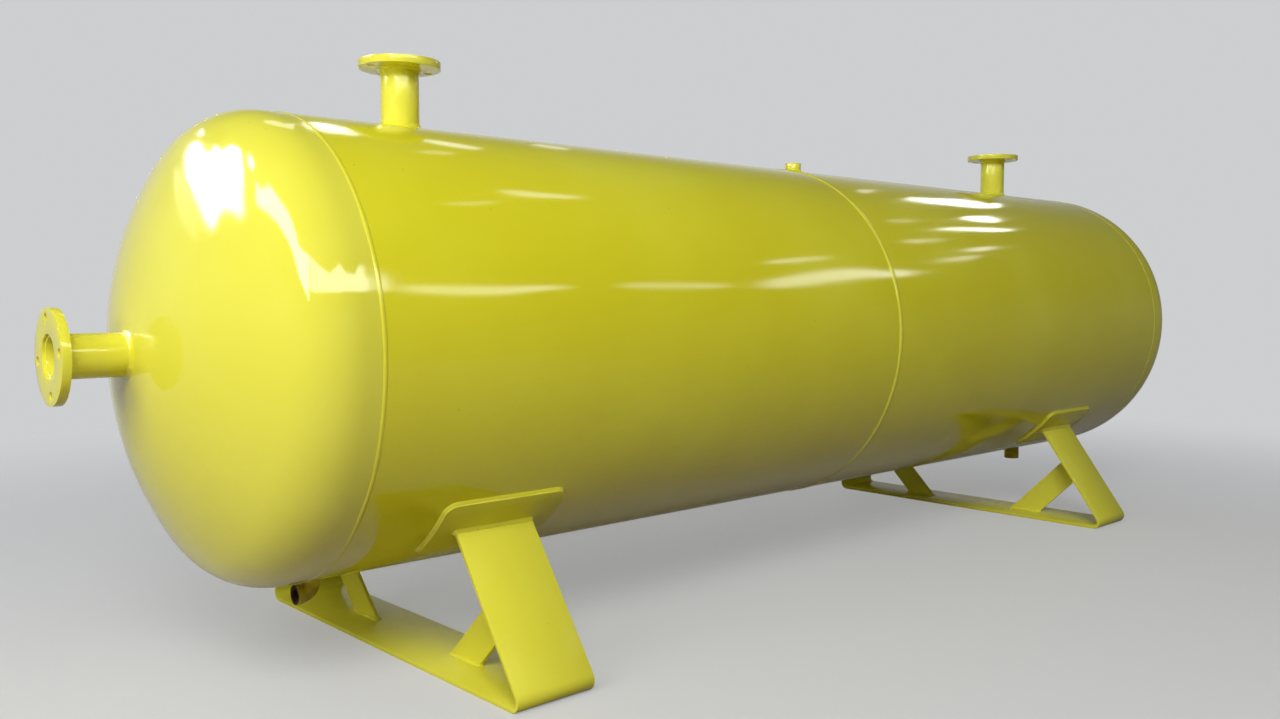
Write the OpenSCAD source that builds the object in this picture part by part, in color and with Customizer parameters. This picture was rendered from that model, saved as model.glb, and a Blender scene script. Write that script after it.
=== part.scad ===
// Horizontal pressure tank: two rolled courses, two dished heads, flanged nozzles
// and two saddles folded from one strip of plate each.
// The tank lies along X, its end nozzle points to -X and the ground is at Z = 0.

/* [Shell] */
// Outside diameter of the rolled shell
shell_od = 1016; // [800:1:1200]
// Plate thickness of the shell and the heads
shell_wall = 8; // [6:0.5:12]
// Length of the left course, from seam to seam
course_left_len = 1640; // [1300:5:2200]
// Length of the right course, from seam to seam
course_right_len = 1710; // [1300:5:2200]
// Height of the tank's axis above the ground
axis_height = 720; // [690:1:800]

/* [Heads] */
// Outside radius of the crown of a head
crown_radius = 813; // [760:1:1000]
// Outside radius of the knuckle of a head
knuckle_radius = 156; // [120:1:200]
// Straight flange between the knuckle and the seam
straight_flange = 38; // [20:1:60]

/* [Welds] */
// Width of a butt weld at the plate's surface
seam_width = 12; // [8:0.5:18]
// Height of a butt weld's crown above the plate
seam_crown = 2; // [1:0.25:3]
// Gap between the plates at the root of a butt weld
root_gap = 2; // [1:0.25:4]
// Leg of the fillet welds between the nozzle necks and the shell or the head
neck_fillet_leg = 12; // [8:0.5:16]
// Leg of the fillet welds on the half couplings
fillet_leg = 8; // [5:0.5:12]
// Leg of the fillet welds on the necks behind their flanges
flange_fillet_leg = 6; // [4:0.5:9]
// Leg of the fillet welds between the saddles' legs and their pads
saddle_fillet = 7; // [5:0.5:9]
// Leg of the fillet welds on the knee braces
brace_fillet = 6; // [4:0.5:8]
// Turn of the left course's long seam from the top, on the far side
long_seam_left_turn = 48; // [30:1:80]
// Turn of the right course's long seam from the top, on the far side
long_seam_right_turn = 72; // [30:1:80]

/* [Nozzles] */
// Outside diameter of a nozzle neck
neck_od = 88.9; // [70:0.1:110]
// Wall of a nozzle neck
neck_wall = 5.5; // [3:0.5:9]
// Outside diameter of a nozzle flange
flange_od = 190.5; // [170:0.5:230]
// Thickness of a nozzle flange
flange_thick = 17; // [12:0.5:25]
// Bolt circle of a nozzle flange
bolt_circle = 152.4; // [144:0.1:156]
// Diameter of a bolt hole
bolt_hole = 19; // [14:0.5:22]
// Number of bolt holes in a flange
bolt_count = 4; // [4:4:8]
// Turn of the end flange's bolt holes from the vertical
end_flange_turn = 8; // [0:1:45]
// Height of a top flange's face above the shell
top_reach = 154; // [110:1:220]
// Reach of the end flange's face beyond the head
end_reach = 139; // [100:1:200]
// Distance of the left top nozzle from the left seam
nozzle_left_inset = 332; // [200:1:600]
// Distance of the right top nozzle from the right seam
nozzle_right_inset = 350; // [200:1:600]
// Set-back of a neck's end from the flange face
neck_setback = 5; // [3:0.5:8]
// Length of a neck inside the shell
neck_inside = 4; // [0:1:15]

/* [Fittings] */
// Outside diameter of the top half coupling
coupling_od = 50; // [40:0.5:62]
// Bore of the top half coupling
coupling_bore = 38; // [20:0.5:39]
// Chamfer at the mouth of a half coupling
coupling_chamfer = 2; // [1:0.5:3]
// Height of the top half coupling above the shell
coupling_height = 30; // [20:1:50]
// Distance of the top half coupling from the middle seam
coupling_inset = 126; // [60:1:250]
// Outside diameter of the bottom half coupling
stub_od = 57; // [45:0.5:70]
// Bore of the bottom half coupling
stub_bore = 44; // [25:0.5:44]
// Reach of the bottom half coupling below the shell
stub_reach = 58; // [30:1:80]
// Distance of the bottom half coupling from the right seam
stub_inset = 153; // [80:1:220]
// Outside diameter of the drain pipe
drain_pipe_od = 33.7; // [26:0.1:38]
// Outside diameter of the drain elbow's bands
elbow_band_od = 46; // [42:0.5:56]
// Width of the drain elbow's bands
elbow_band_width = 13; // [8:0.5:14]
// Outside diameter of the drain elbow between its bands
elbow_body_od = 41; // [39:0.5:42]
// Bore of the drain elbow
elbow_bore = 27; // [18:0.5:29]
// Bore of the drain elbow's open mouth, for a thread
elbow_mouth_bore = 30.3; // [28:0.1:33]
// Distance from the drain elbow's centre to each of its mouths
elbow_reach = 38; // [36:1:60]
// Gap between the shell and the drain elbow, where the drain pipe is welded
drain_gap = 7; // [7:0.5:30]
// Leg of the fillet weld on the drain pipe
drain_fillet = 6.5; // [6.5:0.5:7]
// Distance of the drain from the left seam
drain_inset = 87; // [60:1:130]

/* [Saddles] */
// Distance of the left saddle from the left seam
saddle_left_inset = 350; // [300:5:600]
// Distance of the right saddle from the right seam
saddle_right_inset = 460; // [400:5:700]
// Width of a saddle's plate along the tank
saddle_width = 200; // [120:5:260]
// Thickness of a saddle's plate
saddle_thick = 10; // [6:1:16]
// Length of a saddle's foot across the tank, over its bends
foot_length = 1132; // [1050:2:1240]
// Angle between a saddle's foot and its legs
leg_angle = 54.5; // [50:0.5:62]
// Inside radius of a saddle's bends
bend_radius = 15; // [8:1:30]
// Width of a knee brace
brace_width = 82; // [50:1:110]
// Thickness of a knee brace
brace_thick = 10; // [6:1:16]
// Angle between a knee brace and the foot
brace_angle = 45; // [40:1:55]
// Distance of a knee brace's foot from the tank's middle plane
brace_foot = 230; // [180:5:280]

/* [Pads] */
// Width of a pad plate along the tank
pad_width = 310; // [270:5:400]
// Height of a pad plate round the shell
pad_height = 186; // [140:2:240]
// Thickness of a pad plate
pad_thick = 8; // [5:1:12]
// Radius of a pad plate's corners
pad_corner = 25; // [10:1:50]

/* [Hidden] */
$fn = 96;
// Clearance between a piece and the curved seat that it is welded to
seat_gap = 0.2;
// Overshoot of a cutting body beyond the surface that it opens
cut_over = 20;

shell_r = shell_od / 2;
shell_ri = shell_r - shell_wall;
seam_left_x = 0;
seam_middle_x = course_left_len;
seam_right_x = course_left_len + course_right_len;

// The knuckle's centre and the crown's centre, seen from a head's seam
knuckle_centre_r = shell_r - knuckle_radius;
crown_centre_x = straight_flange
    - sqrt(pow(crown_radius - knuckle_radius, 2) - pow(knuckle_centre_r, 2));
head_depth = crown_centre_x + crown_radius;

reach_left = head_depth + end_reach;
reach_right = seam_right_x + head_depth;
// The left seam's place when the whole tank is centred on the origin
left_seam_place = (reach_left - reach_right) / 2;

neck_r = neck_od / 2;
// Where the end neck's outer surface passes the head's, seen from the head's seam
end_neck_seat = crown_centre_x + sqrt(pow(crown_radius, 2) - pow(neck_r, 2));
nozzle_left_x = nozzle_left_inset;
nozzle_right_x = seam_right_x - nozzle_right_inset;
coupling_x = seam_middle_x + coupling_inset;
stub_x = seam_right_x - stub_inset;
drain_x = drain_inset;
saddle_left_x = saddle_left_inset;
saddle_right_x = seam_right_x - saddle_right_inset;

bend_outer = bend_radius + saddle_thick;
bend_centre_y = foot_length / 2 - bend_outer;
bend_turn = 180 - leg_angle;
// Straight steps in which a bend is drawn
bend_steps = 16;
// Half the length on which a knee brace stands on the foot, and that on which it meets the leg
brace_foot_half = brace_width / 2 / sin(brace_angle);
brace_head_half = brace_width / 2 / sin(brace_angle + leg_angle);
pad_inner_r = shell_r + seat_gap;
pad_outer_r = pad_inner_r + pad_thick;
// How far a leg's middle plane passes from the tank's axis
leg_offset = bend_centre_y * sin(leg_angle) + bend_radius + saddle_thick / 2
    - (axis_height - bend_outer) * cos(leg_angle);
// Where a leg meets its pad, as a turn from the tank's lowest line
leg_turn = 90 - leg_angle + asin(leg_offset / pad_outer_r);
// Direction of the right leg, up towards its pad
leg_up = [-cos(leg_angle), sin(leg_angle)];
// Length of a leg from its bend to its pad, along its middle plane
leg_run = (bend_centre_y - pad_outer_r * sin(leg_turn)) * cos(leg_angle)
    + (axis_height - pad_outer_r * cos(leg_turn) - bend_outer) * sin(leg_angle);

// Places children, drawn with the left seam at X = 0 and the axis at Z = 0, in the part's frame
module in_place() {
    translate([left_seam_place, 0, axis_height]) children();
}

// Turns a 2D profile (radius, length) about the tank's axis
module turned_on_axis() {
    rotate([0, 90, 0]) rotate_extrude($fn = 180) children();
}

// Profile of a V groove round a seam at the given place along the axis
module groove_profile(place) {
    polygon([
        [shell_ri - cut_over, place - root_gap / 2],
        [shell_ri, place - root_gap / 2],
        [shell_r, place - seam_width / 2],
        [shell_r + cut_over, place - seam_width / 2],
        [shell_r + cut_over, place + seam_width / 2],
        [shell_r, place + seam_width / 2],
        [shell_ri, place + root_gap / 2],
        [shell_ri - cut_over, place + root_gap / 2]
    ]);
}

// Round cap of a butt weld, standing on the line y = 0 of its own frame
module crown_cap() {
    cap_radius = (pow(seam_width / 2, 2) + pow(seam_crown, 2)) / (2 * seam_crown);
    intersection() {
        translate([0, seam_crown - cap_radius]) circle(r = cap_radius);
        translate([-seam_width / 2, -0.5]) square([seam_width, seam_crown + 1]);
    }
}

// Cross-section of a butt weld, root down, with the plate's surface on y = 0
module butt_weld_profile() {
    polygon([
        [-root_gap / 2, -shell_wall],
        [root_gap / 2, -shell_wall],
        [seam_width / 2, 0],
        [-seam_width / 2, 0]
    ]);
    crown_cap();
}

module girth_weld(place) {
    color("gold") in_place() turned_on_axis()
        translate([shell_r, place]) rotate(-90) butt_weld_profile();
}

// Long seam of a course, cut into the plate or filled, turned towards the far side
module long_seam(turn, start, stop, extra) {
    rotate([-turn, 0, 0]) translate([start - extra, 0, 0]) rotate([90, 0, 90])
        linear_extrude(stop - start + 2 * extra) children();
}

module long_groove_profile() {
    polygon([
        [-root_gap / 2, shell_ri - cut_over],
        [root_gap / 2, shell_ri - cut_over],
        [root_gap / 2, shell_ri],
        [seam_width / 2, shell_r],
        [seam_width / 2, shell_r + cut_over],
        [-seam_width / 2, shell_r + cut_over],
        [-seam_width / 2, shell_r],
        [-root_gap / 2, shell_ri]
    ]);
}

// Rolled plate between two seams, with bevelled ends and an open long seam
module course(start, stop, turn) {
    difference() {
        turned_on_axis() difference() {
            translate([shell_ri, start]) square([shell_wall, stop - start]);
            groove_profile(start);
            groove_profile(stop);
        }
        long_seam(turn, start, stop, cut_over) long_groove_profile();
    }
}

module long_weld(start, stop, turn) {
    color("gold") in_place() intersection() {
        long_seam(turn, start, stop, cut_over) {
            intersection() {
                long_groove_profile();
                square([seam_width, 2 * shell_r], center = true);
            }
            translate([0, shell_r]) crown_cap();
        }
        turned_on_axis() difference() {
            translate([shell_ri, start]) square([shell_wall + cut_over, stop - start]);
            groove_profile(start);
            groove_profile(stop);
        }
    }
}

// Profile of a dished head, solid to the axis, with its seam at y = 0 and its pole at +y
module dish_profile(inset) {
    crown_r = crown_radius - inset;
    knuckle_r = knuckle_radius - inset;
    tangent = [knuckle_centre_r, straight_flange - crown_centre_x];
    far = 2 * tangent;
    square([shell_r - inset, straight_flange]);
    intersection() {
        translate([0, crown_centre_x]) circle(r = crown_r, $fn = 240);
        polygon([
            [0, straight_flange - 1],
            [knuckle_centre_r, straight_flange - 1],
            [knuckle_centre_r, straight_flange],
            [far[0], crown_centre_x + far[1]],
            [0, crown_centre_x + far[1]]
        ]);
    }
    intersection() {
        translate([knuckle_centre_r, straight_flange]) circle(r = knuckle_r);
        translate([knuckle_centre_r - knuckle_r, straight_flange - 1])
            square([2 * knuckle_r, knuckle_r + 2]);
        square([shell_r - inset, straight_flange + knuckle_r + 1]);
    }
}

module dished_head() {
    rotate_extrude($fn = 180) difference() {
        dish_profile(0);
        translate([0, -1]) square([shell_ri, 2]);
        dish_profile(shell_wall);
        groove_profile(0);
    }
}

// Slip-on plate flange with its face at Z = 0 and its back below
module plate_flange() {
    color("gold") difference() {
        translate([0, 0, -flange_thick]) cylinder(d = flange_od, h = flange_thick);
        translate([0, 0, -flange_thick - 1])
            cylinder(d = neck_od + 2 * seat_gap, h = flange_thick + 2);
        for (i = [0 : bolt_count - 1])
            rotate(i * 360 / bolt_count)
                translate([bolt_circle / 2, 0, -flange_thick - 1])
                    cylinder(d = bolt_hole, h = flange_thick + 2);
    }
}

// Pipe neck from the flange's set-back down to the given depth below the face
module pipe_neck(depth) {
    color("gold") translate([0, 0, -depth]) difference() {
        cylinder(d = neck_od, h = depth - neck_setback);
        translate([0, 0, -1]) cylinder(d = neck_od - 2 * neck_wall, h = depth);
    }
}

// Fillet weld round a neck behind its flange, with the flange's face at Z = 0
module flange_fillet() {
    translate([0, 0, -flange_thick]) rotate_extrude() polygon([
        [neck_r, 0],
        [neck_r + flange_fillet_leg, 0],
        [neck_r, -flange_fillet_leg]
    ]);
}

// Fillet weld round a fitting of the given radius where it stands on the shell's top line
module shell_fillet(radius, leg) {
    difference() {
        translate([0, 0, shell_r - leg])
            cylinder(r1 = radius + 2 * leg, r2 = radius, h = 2 * leg);
        translate([0, 0, shell_r - 2 * leg]) cylinder(r = radius, h = 4 * leg);
        shell_cut();
    }
}

// Solid cylinder of the shell's outer surface, fine enough for the small welds on it
module shell_cut() {
    rotate([0, 90, 0]) cylinder(r = shell_r, h = 4 * shell_r, center = true, $fn = 1440);
}

// Hole through the shell's top line for a fitting of the given radius
module shell_hole(radius) {
    translate([0, 0, shell_ri - cut_over])
        cylinder(r = radius + seat_gap, h = shell_wall + 2 * cut_over);
}

module top_nozzle_place(x) {
    in_place() translate([x, 0, shell_r + top_reach]) children();
}

module end_nozzle_place() {
    in_place() translate([-reach_left, 0, 0]) rotate([0, -90, 0]) children();
}

// Half coupling with a chamfered bore, its foot at Z = 0
module half_coupling(outer, bore, height) {
    color("gold") difference() {
        cylinder(d = outer, h = height);
        translate([0, 0, -1]) cylinder(d = bore, h = height + 2);
        translate([0, 0, height - coupling_chamfer])
            cylinder(d1 = bore, d2 = bore + 4 * coupling_chamfer, h = 2 * coupling_chamfer);
    }
}

module shell_course_left() {
    color("gold") in_place() difference() {
        course(seam_left_x, seam_middle_x, long_seam_left_turn);
        translate([nozzle_left_x, 0, 0]) shell_hole(neck_r);
        translate([drain_x, 0, 0]) mirror([0, 0, 1]) shell_hole(drain_pipe_od / 2);
    }
}

module shell_course_right() {
    color("gold") in_place() difference() {
        course(seam_middle_x, seam_right_x, long_seam_right_turn);
        translate([coupling_x, 0, 0]) shell_hole(coupling_od / 2);
        translate([nozzle_right_x, 0, 0]) shell_hole(neck_r);
        translate([stub_x, 0, 0]) mirror([0, 0, 1]) shell_hole(stub_od / 2);
    }
}

module head_left() {
    color("gold") in_place() difference() {
        rotate([0, -90, 0]) dished_head();
        translate([-reach_left, 0, 0]) rotate([0, 90, 0])
            cylinder(r = neck_r + seat_gap, h = end_reach + shell_wall + cut_over);
    }
}

module head_right() {
    color("gold") in_place() translate([seam_right_x, 0, 0]) rotate([0, 90, 0]) dished_head();
}

module weld_girth_left() { girth_weld(seam_left_x); }
module weld_girth_middle() { girth_weld(seam_middle_x); }
module weld_girth_right() { girth_weld(seam_right_x); }

module weld_long_left() { long_weld(seam_left_x, seam_middle_x, long_seam_left_turn); }
module weld_long_right() { long_weld(seam_middle_x, seam_right_x, long_seam_right_turn); }

module neck_top_left() {
    top_nozzle_place(nozzle_left_x) pipe_neck(top_reach + shell_wall + neck_inside);
}
module flange_top_left() { top_nozzle_place(nozzle_left_x) plate_flange(); }
module weld_neck_top_left() {
    color("gold") top_nozzle_place(nozzle_left_x) flange_fillet();
    color("gold") in_place() translate([nozzle_left_x, 0, 0])
        shell_fillet(neck_r, neck_fillet_leg);
}

module neck_top_right() {
    top_nozzle_place(nozzle_right_x) pipe_neck(top_reach + shell_wall + neck_inside);
}
module flange_top_right() { top_nozzle_place(nozzle_right_x) plate_flange(); }
module weld_neck_top_right() {
    color("gold") top_nozzle_place(nozzle_right_x) flange_fillet();
    color("gold") in_place() translate([nozzle_right_x, 0, 0])
        shell_fillet(neck_r, neck_fillet_leg);
}

module neck_end() { end_nozzle_place() pipe_neck(end_reach + shell_wall + neck_inside); }
module flange_end() { end_nozzle_place() rotate(end_flange_turn) plate_flange(); }
module weld_neck_end() {
    color("gold") end_nozzle_place() flange_fillet();
    color("gold") in_place() rotate([0, -90, 0]) rotate_extrude($fn = 180) difference() {
        translate([neck_r, end_neck_seat - neck_fillet_leg])
            polygon([[0, 0], [2 * neck_fillet_leg, 0], [0, 2 * neck_fillet_leg]]);
        translate([0, crown_centre_x]) circle(r = crown_radius, $fn = 240);
    }
}

module coupling_top() {
    in_place() translate([coupling_x, 0, shell_ri])
        half_coupling(coupling_od, coupling_bore, shell_wall + coupling_height);
}
module weld_coupling_top() {
    color("gold") in_place() translate([coupling_x, 0, 0]) shell_fillet(coupling_od / 2, fillet_leg);
}

module stub_bottom_right() {
    in_place() translate([stub_x, 0, -shell_ri]) mirror([0, 0, 1])
        half_coupling(stub_od, stub_bore, shell_wall + stub_reach);
}
module weld_stub_bottom_right() {
    color("gold") in_place() translate([stub_x, 0, 0]) mirror([0, 0, 1])
        shell_fillet(stub_od / 2, fillet_leg);
}

// Pipe from the shell's inner surface down into the elbow's upper mouth
module drain_pipe() {
    color("gold") in_place() translate([drain_x, 0, -shell_r - drain_gap - elbow_band_width])
        difference() {
            cylinder(d = drain_pipe_od, h = elbow_band_width + drain_gap + shell_wall);
            translate([0, 0, -cut_over])
                cylinder(d = elbow_bore, h = shell_r);
        }
}

// Quarter bend with a band round each mouth: one mouth up, the other towards -X
module drain_elbow() {
    bend_r = elbow_reach - elbow_band_width;
    color("gold") in_place()
        translate([drain_x, 0, -shell_r - drain_gap - elbow_reach]) difference() {
            union() {
                elbow_run(elbow_body_od, bend_r, 1);
                translate([0, 0, bend_r]) cylinder(d = elbow_band_od, h = elbow_band_width);
                translate([-elbow_reach, 0, 0]) rotate([0, 90, 0])
                    cylinder(d = elbow_band_od, h = elbow_band_width);
            }
            elbow_run(elbow_bore, bend_r, elbow_band_width + 1);
            translate([0, 0, bend_r])
                cylinder(d = drain_pipe_od + 2 * seat_gap, h = elbow_band_width + 1);
            translate([-elbow_reach - 1, 0, 0]) rotate([0, 90, 0])
                cylinder(d = elbow_mouth_bore, h = elbow_band_width + 1);
        }
}

// Round run through the elbow: a quarter turn and a straight end towards each mouth
module elbow_run(diameter, bend_r, straight) {
    translate([-bend_r, 0, bend_r]) rotate([90, 90, 0])
        rotate_extrude(angle = 90) translate([bend_r, 0]) circle(d = diameter);
    translate([0, 0, bend_r]) cylinder(d = diameter, h = straight);
    translate([-bend_r - straight, 0, 0]) rotate([0, 90, 0])
        cylinder(d = diameter, h = straight);
}

module weld_drain() {
    color("gold") in_place() translate([drain_x, 0, 0]) mirror([0, 0, 1])
        shell_fillet(drain_pipe_od / 2, drain_fillet);
}

// Pad plate: a piece of a ring round the shell with round corners.
// side is -1 on the near side and 1 on the far side.
module pad(x, side) {
    color("gold") in_place() intersection() {
        translate([x - pad_width / 2 - 1, 0, 0]) rotate([0, 90, 0]) difference() {
            cylinder(r = pad_outer_r, h = pad_width + 2, $fn = 180);
            translate([0, 0, -1]) cylinder(r = pad_inner_r, h = pad_width + 4, $fn = 180);
        }
        translate([x, 0, 0]) rotate([180 + side * leg_turn, 0, 0])
            linear_extrude(2 * shell_r) round_plate(pad_width, pad_height, pad_corner);
    }
}

module round_plate(width, height, corner) {
    square([width - 2 * corner, height], center = true);
    square([width, height - 2 * corner], center = true);
    for (i = [-1, 1], j = [-1, 1])
        translate([i * (width / 2 - corner), j * (height / 2 - corner)]) circle(r = corner);
}

module pad_left_near() { pad(saddle_left_x, -1); }
module pad_left_far() { pad(saddle_left_x, 1); }
module pad_right_near() { pad(saddle_right_x, -1); }
module pad_right_far() { pad(saddle_right_x, 1); }

// Points round a bend's right-hand centre at the given radius, from one turn to another
// counted from the foot
function bend_points(radius, from, to) = [
    for (i = [0 : bend_steps])
        let (turn = from + (to - from) * i / bend_steps - 90)
            [bend_centre_y + radius * cos(turn), bend_outer + radius * sin(turn)]
];

// Far end of a leg's face, hidden inside the pad's circle until it is cut to it
function leg_end(radius) = [
    bend_centre_y + radius * sin(leg_angle) - (leg_run + cut_over) * cos(leg_angle),
    bend_outer + radius * cos(leg_angle) + (leg_run + cut_over) * sin(leg_angle)
];

// Right half of the folded plate's outline: up its outer face and back down its inner face
function half_outline() = concat(
    bend_points(bend_outer, 0, bend_turn),
    [leg_end(bend_outer), leg_end(bend_radius)],
    bend_points(bend_radius, bend_turn, 0)
);

function mirrored(points) = [
    for (i = [len(points) - 1 : -1 : 0]) [-points[i][0], points[i][1]]
];

// Plate folded to a foot and two legs that lean inward, cut to the pads
module saddle(x) {
    color("gold") translate([left_seam_place + x, 0, 0]) difference() {
        rotate([90, 0, 90]) linear_extrude(saddle_width, center = true)
            polygon(concat(half_outline(), mirrored(half_outline())));
        translate([0, 0, axis_height]) rotate([0, 90, 0])
            cylinder(r = pad_outer_r + seat_gap, h = 2 * saddle_width, center = true, $fn = 180);
    }
}

module saddle_left() { saddle(saddle_left_x); }
module saddle_right() { saddle(saddle_right_x); }

// Start of a face of the right leg at its bend, seen from the tank's axis.
// radius is the bend's on that face.
function face_start(radius) = [
    bend_centre_y + radius * sin(leg_angle),
    bend_outer - axis_height + radius * cos(leg_angle)
];

// Where that face meets the pad
function face_corner(radius) =
    let (start = face_start(radius), along = start * leg_up)
        start + leg_up * (-along - sqrt(along * along - start * start + pow(pad_outer_r, 2)));

// Fillet weld in the corner between a face of the right leg and the pad.
// side is 1 on the leg's outer face and -1 on its inner face.
module leg_fillet_profile(radius, side) {
    corner = face_corner(radius);
    outward = corner / pad_outer_r;
    along_pad = side * [-outward[1], outward[0]];
    difference() {
        polygon([
            corner + leg_up,
            corner - saddle_fillet * leg_up,
            corner + saddle_fillet * along_pad,
            corner + saddle_fillet * along_pad - outward
        ]);
        circle(r = pad_outer_r, $fn = 1440);
    }
}

module weld_legs(x) {
    color("gold") translate([left_seam_place + x, 0, axis_height])
        for (side = [0, 1]) mirror([0, side, 0])
            rotate([90, 0, 90]) linear_extrude(saddle_width, center = true) {
                leg_fillet_profile(bend_outer, 1);
                leg_fillet_profile(bend_radius, -1);
            }
}

module weld_legs_left() { weld_legs(saddle_left_x); }
module weld_legs_right() { weld_legs(saddle_right_x); }

// Flat bar from the foot up to the inner face of the right leg
module brace_profile() {
    intersection() {
        translate([brace_foot, saddle_thick]) rotate(brace_angle)
            translate([-axis_height / 2, -brace_width / 2]) square([axis_height * 1.5, brace_width]);
        translate([0, saddle_thick]) square([foot_length, axis_height]);
        translate([bend_centre_y, bend_outer]) rotate(-leg_angle)
            translate([-2 * axis_height, bend_radius - 2 * axis_height])
                square([4 * axis_height, 2 * axis_height]);
    }
}

module brace(x, side) {
    color("gold") translate([left_seam_place + x - brace_thick / 2, 0, 0])
        rotate([90, 0, 90]) linear_extrude(brace_thick)
            mirror([side < 0 ? 1 : 0, 0]) brace_profile();
}

// Distance from the start of the right leg's inner face to the middle of its knee brace
function brace_head_run() =
    let (
        across = bend_centre_y + bend_radius * sin(leg_angle) - brace_foot,
        rise = bend_outer + bend_radius * cos(leg_angle) - saddle_thick
    )
        (across * sin(brace_angle) - rise * cos(brace_angle)) / sin(brace_angle + leg_angle);

// Pair of fillet welds on both sides of a knee brace, along Z
module brace_fillets(half_length) {
    linear_extrude(2 * (half_length - brace_fillet), center = true)
        for (side = [0, 1]) mirror([side, 0]) translate([brace_thick / 2, 0])
            polygon([[0, 0], [brace_fillet, 0], [0, brace_fillet]]);
}

module weld_braces(x) {
    head = face_start(bend_radius) + brace_head_run() * leg_up;
    color("gold") translate([left_seam_place + x, 0, 0])
        for (side = [0, 1]) mirror([0, side, 0]) {
            translate([0, brace_foot, saddle_thick]) rotate([90, 0, 0])
                brace_fillets(brace_foot_half);
            translate([0, head[0], axis_height + head[1]]) rotate([270 - leg_angle, 0, 0])
                brace_fillets(brace_head_half);
        }
}

module weld_braces_left() { weld_braces(saddle_left_x); }
module weld_braces_right() { weld_braces(saddle_right_x); }

module brace_left_near() { brace(saddle_left_x, -1); }
module brace_left_far() { brace(saddle_left_x, 1); }
module brace_right_near() { brace(saddle_right_x, -1); }
module brace_right_far() { brace(saddle_right_x, 1); }

shell_course_left();
shell_course_right();
head_left();
head_right();
weld_girth_left();
weld_girth_middle();
weld_girth_right();
weld_long_left();
weld_long_right();
neck_top_left();
flange_top_left();
weld_neck_top_left();
neck_top_right();
flange_top_right();
weld_neck_top_right();
neck_end();
flange_end();
weld_neck_end();
coupling_top();
weld_coupling_top();
stub_bottom_right();
weld_stub_bottom_right();
drain_pipe();
drain_elbow();
weld_drain();
pad_left_near();
pad_left_far();
pad_right_near();
pad_right_far();
saddle_left();
saddle_right();
weld_legs_left();
weld_legs_right();
brace_left_near();
brace_left_far();
brace_right_near();
brace_right_far();
weld_braces_left();
weld_braces_right();
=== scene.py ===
"""Looks of a horizontal pressure tank: gloss yellow enamel, rippled weld beads, soft-edged plates."""

import math
from functools import partial

import bpy
from mathutils import Matrix, Vector, noise


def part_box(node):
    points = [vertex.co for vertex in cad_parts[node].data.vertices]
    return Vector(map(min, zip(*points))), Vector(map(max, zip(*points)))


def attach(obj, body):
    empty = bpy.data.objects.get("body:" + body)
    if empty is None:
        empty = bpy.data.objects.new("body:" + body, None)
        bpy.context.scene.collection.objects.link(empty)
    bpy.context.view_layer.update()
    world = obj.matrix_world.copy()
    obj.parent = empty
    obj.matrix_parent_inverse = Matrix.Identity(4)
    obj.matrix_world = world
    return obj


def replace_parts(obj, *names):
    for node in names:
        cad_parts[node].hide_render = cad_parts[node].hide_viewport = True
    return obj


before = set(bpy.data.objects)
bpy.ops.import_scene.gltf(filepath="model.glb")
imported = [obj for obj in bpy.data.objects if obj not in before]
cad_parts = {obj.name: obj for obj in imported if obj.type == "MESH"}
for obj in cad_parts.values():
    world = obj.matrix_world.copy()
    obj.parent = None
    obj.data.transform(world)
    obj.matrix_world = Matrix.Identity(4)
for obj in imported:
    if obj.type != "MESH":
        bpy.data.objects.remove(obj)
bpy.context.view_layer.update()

# Sizes that the frame doesn't hold by itself, in metres and radians
PLATE = 0.008
CROWN_RADIUS = 0.813
KNUCKLE_RADIUS = 0.156
STRAIGHT_FLANGE = 0.038
ROOT_GAP = 0.002
NECK_RADIUS = 0.04445
NECK_WALL = 0.0055
BOLT_CIRCLE_RADIUS = 0.0762
BOLT_HOLE_RADIUS = 0.0095
BOLT_COUNT = 4
END_FLANGE_TURN = math.radians(8)
COUPLING_BORE = 0.019
STUB_BORE = 0.022
ELBOW_BORE = 0.0135
ELBOW_MOUTH = 0.0152
ELBOW_BODY = 0.0205
ELBOW_BAND = 0.013
BAND_SLOPE = 0.0015
SADDLE_PLATE = 0.010
BEND_RADIUS = 0.015
LEG_ANGLE = math.radians(54.5)
BRACE_ANGLE = math.radians(45)
BRACE_WIDTH = 0.082
BRACE_FOOT = 0.230
# Lengths of the leg and of the brace before they are cut to fit
LEG_DRAWN = 0.45
BRACE_DRAWN = 0.9
PAD_HEIGHT = 0.186
PAD_PLATE = 0.008
PAD_CORNER = 0.025
BAR_CORNER = 0.003
SEAT_GAP = 0.0002

# Weld beads, in metres. A name that ends in LEG gives the width of a fillet weld
RIPPLE = 0.0042
SEAM_HALF_WIDTH = 0.0088
SEAM_CROWN = 0.0032
HEAD_SEAM_HALF_WIDTH = 0.0052
HEAD_SEAM_CROWN = 0.0017
NECK_LEG = 0.010
END_NECK_LEG = 0.007
FLANGE_LEG = 0.007
PAD_LEG = 0.0048
LEG_LEG = 0.007
BRACE_LEG = 0.0058
PIPE_LEG = 0.008
DRAIN_LEG = 0.0062
# Bulge of a fillet weld as a share of its leg: of most, at a neck's root, behind a flange
BULGE = 0.05
ROOT_BULGE = -0.14
BACK_BULGE = 0.08
# How far a fillet and a cap reach into the metal, and a cap's lead in ripples
FILLET_ROOT = 0.0008
CAP_ROOT = 0.0005
CAP_LEAD = 0.5
# A hand-laid bead's slow and quick changes: scale per metre, shares of its width and its height
SLOW_SCALE = 23
SLOW_WIDTH = 0.2
SLOW_HEIGHT = 0.34
QUICK_SCALE = 110
QUICK_WIDTH = 0.08
QUICK_HEIGHT = 0.16
RIPPLE_SHIFT = 0.0008
SEAM_WANDER = 0.0012
LONG_SEAM_WANDER = 0.001
# Length over which a bead with open ends reaches its height
RUN_IN = 0.012
# Share of a ripple's length, and the change of its height over that share
RIPPLE_STEPS = ((0.3, 1.12), (0.35, 0.96), (0.35, 1 / (1.12 * 0.96)))

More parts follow.
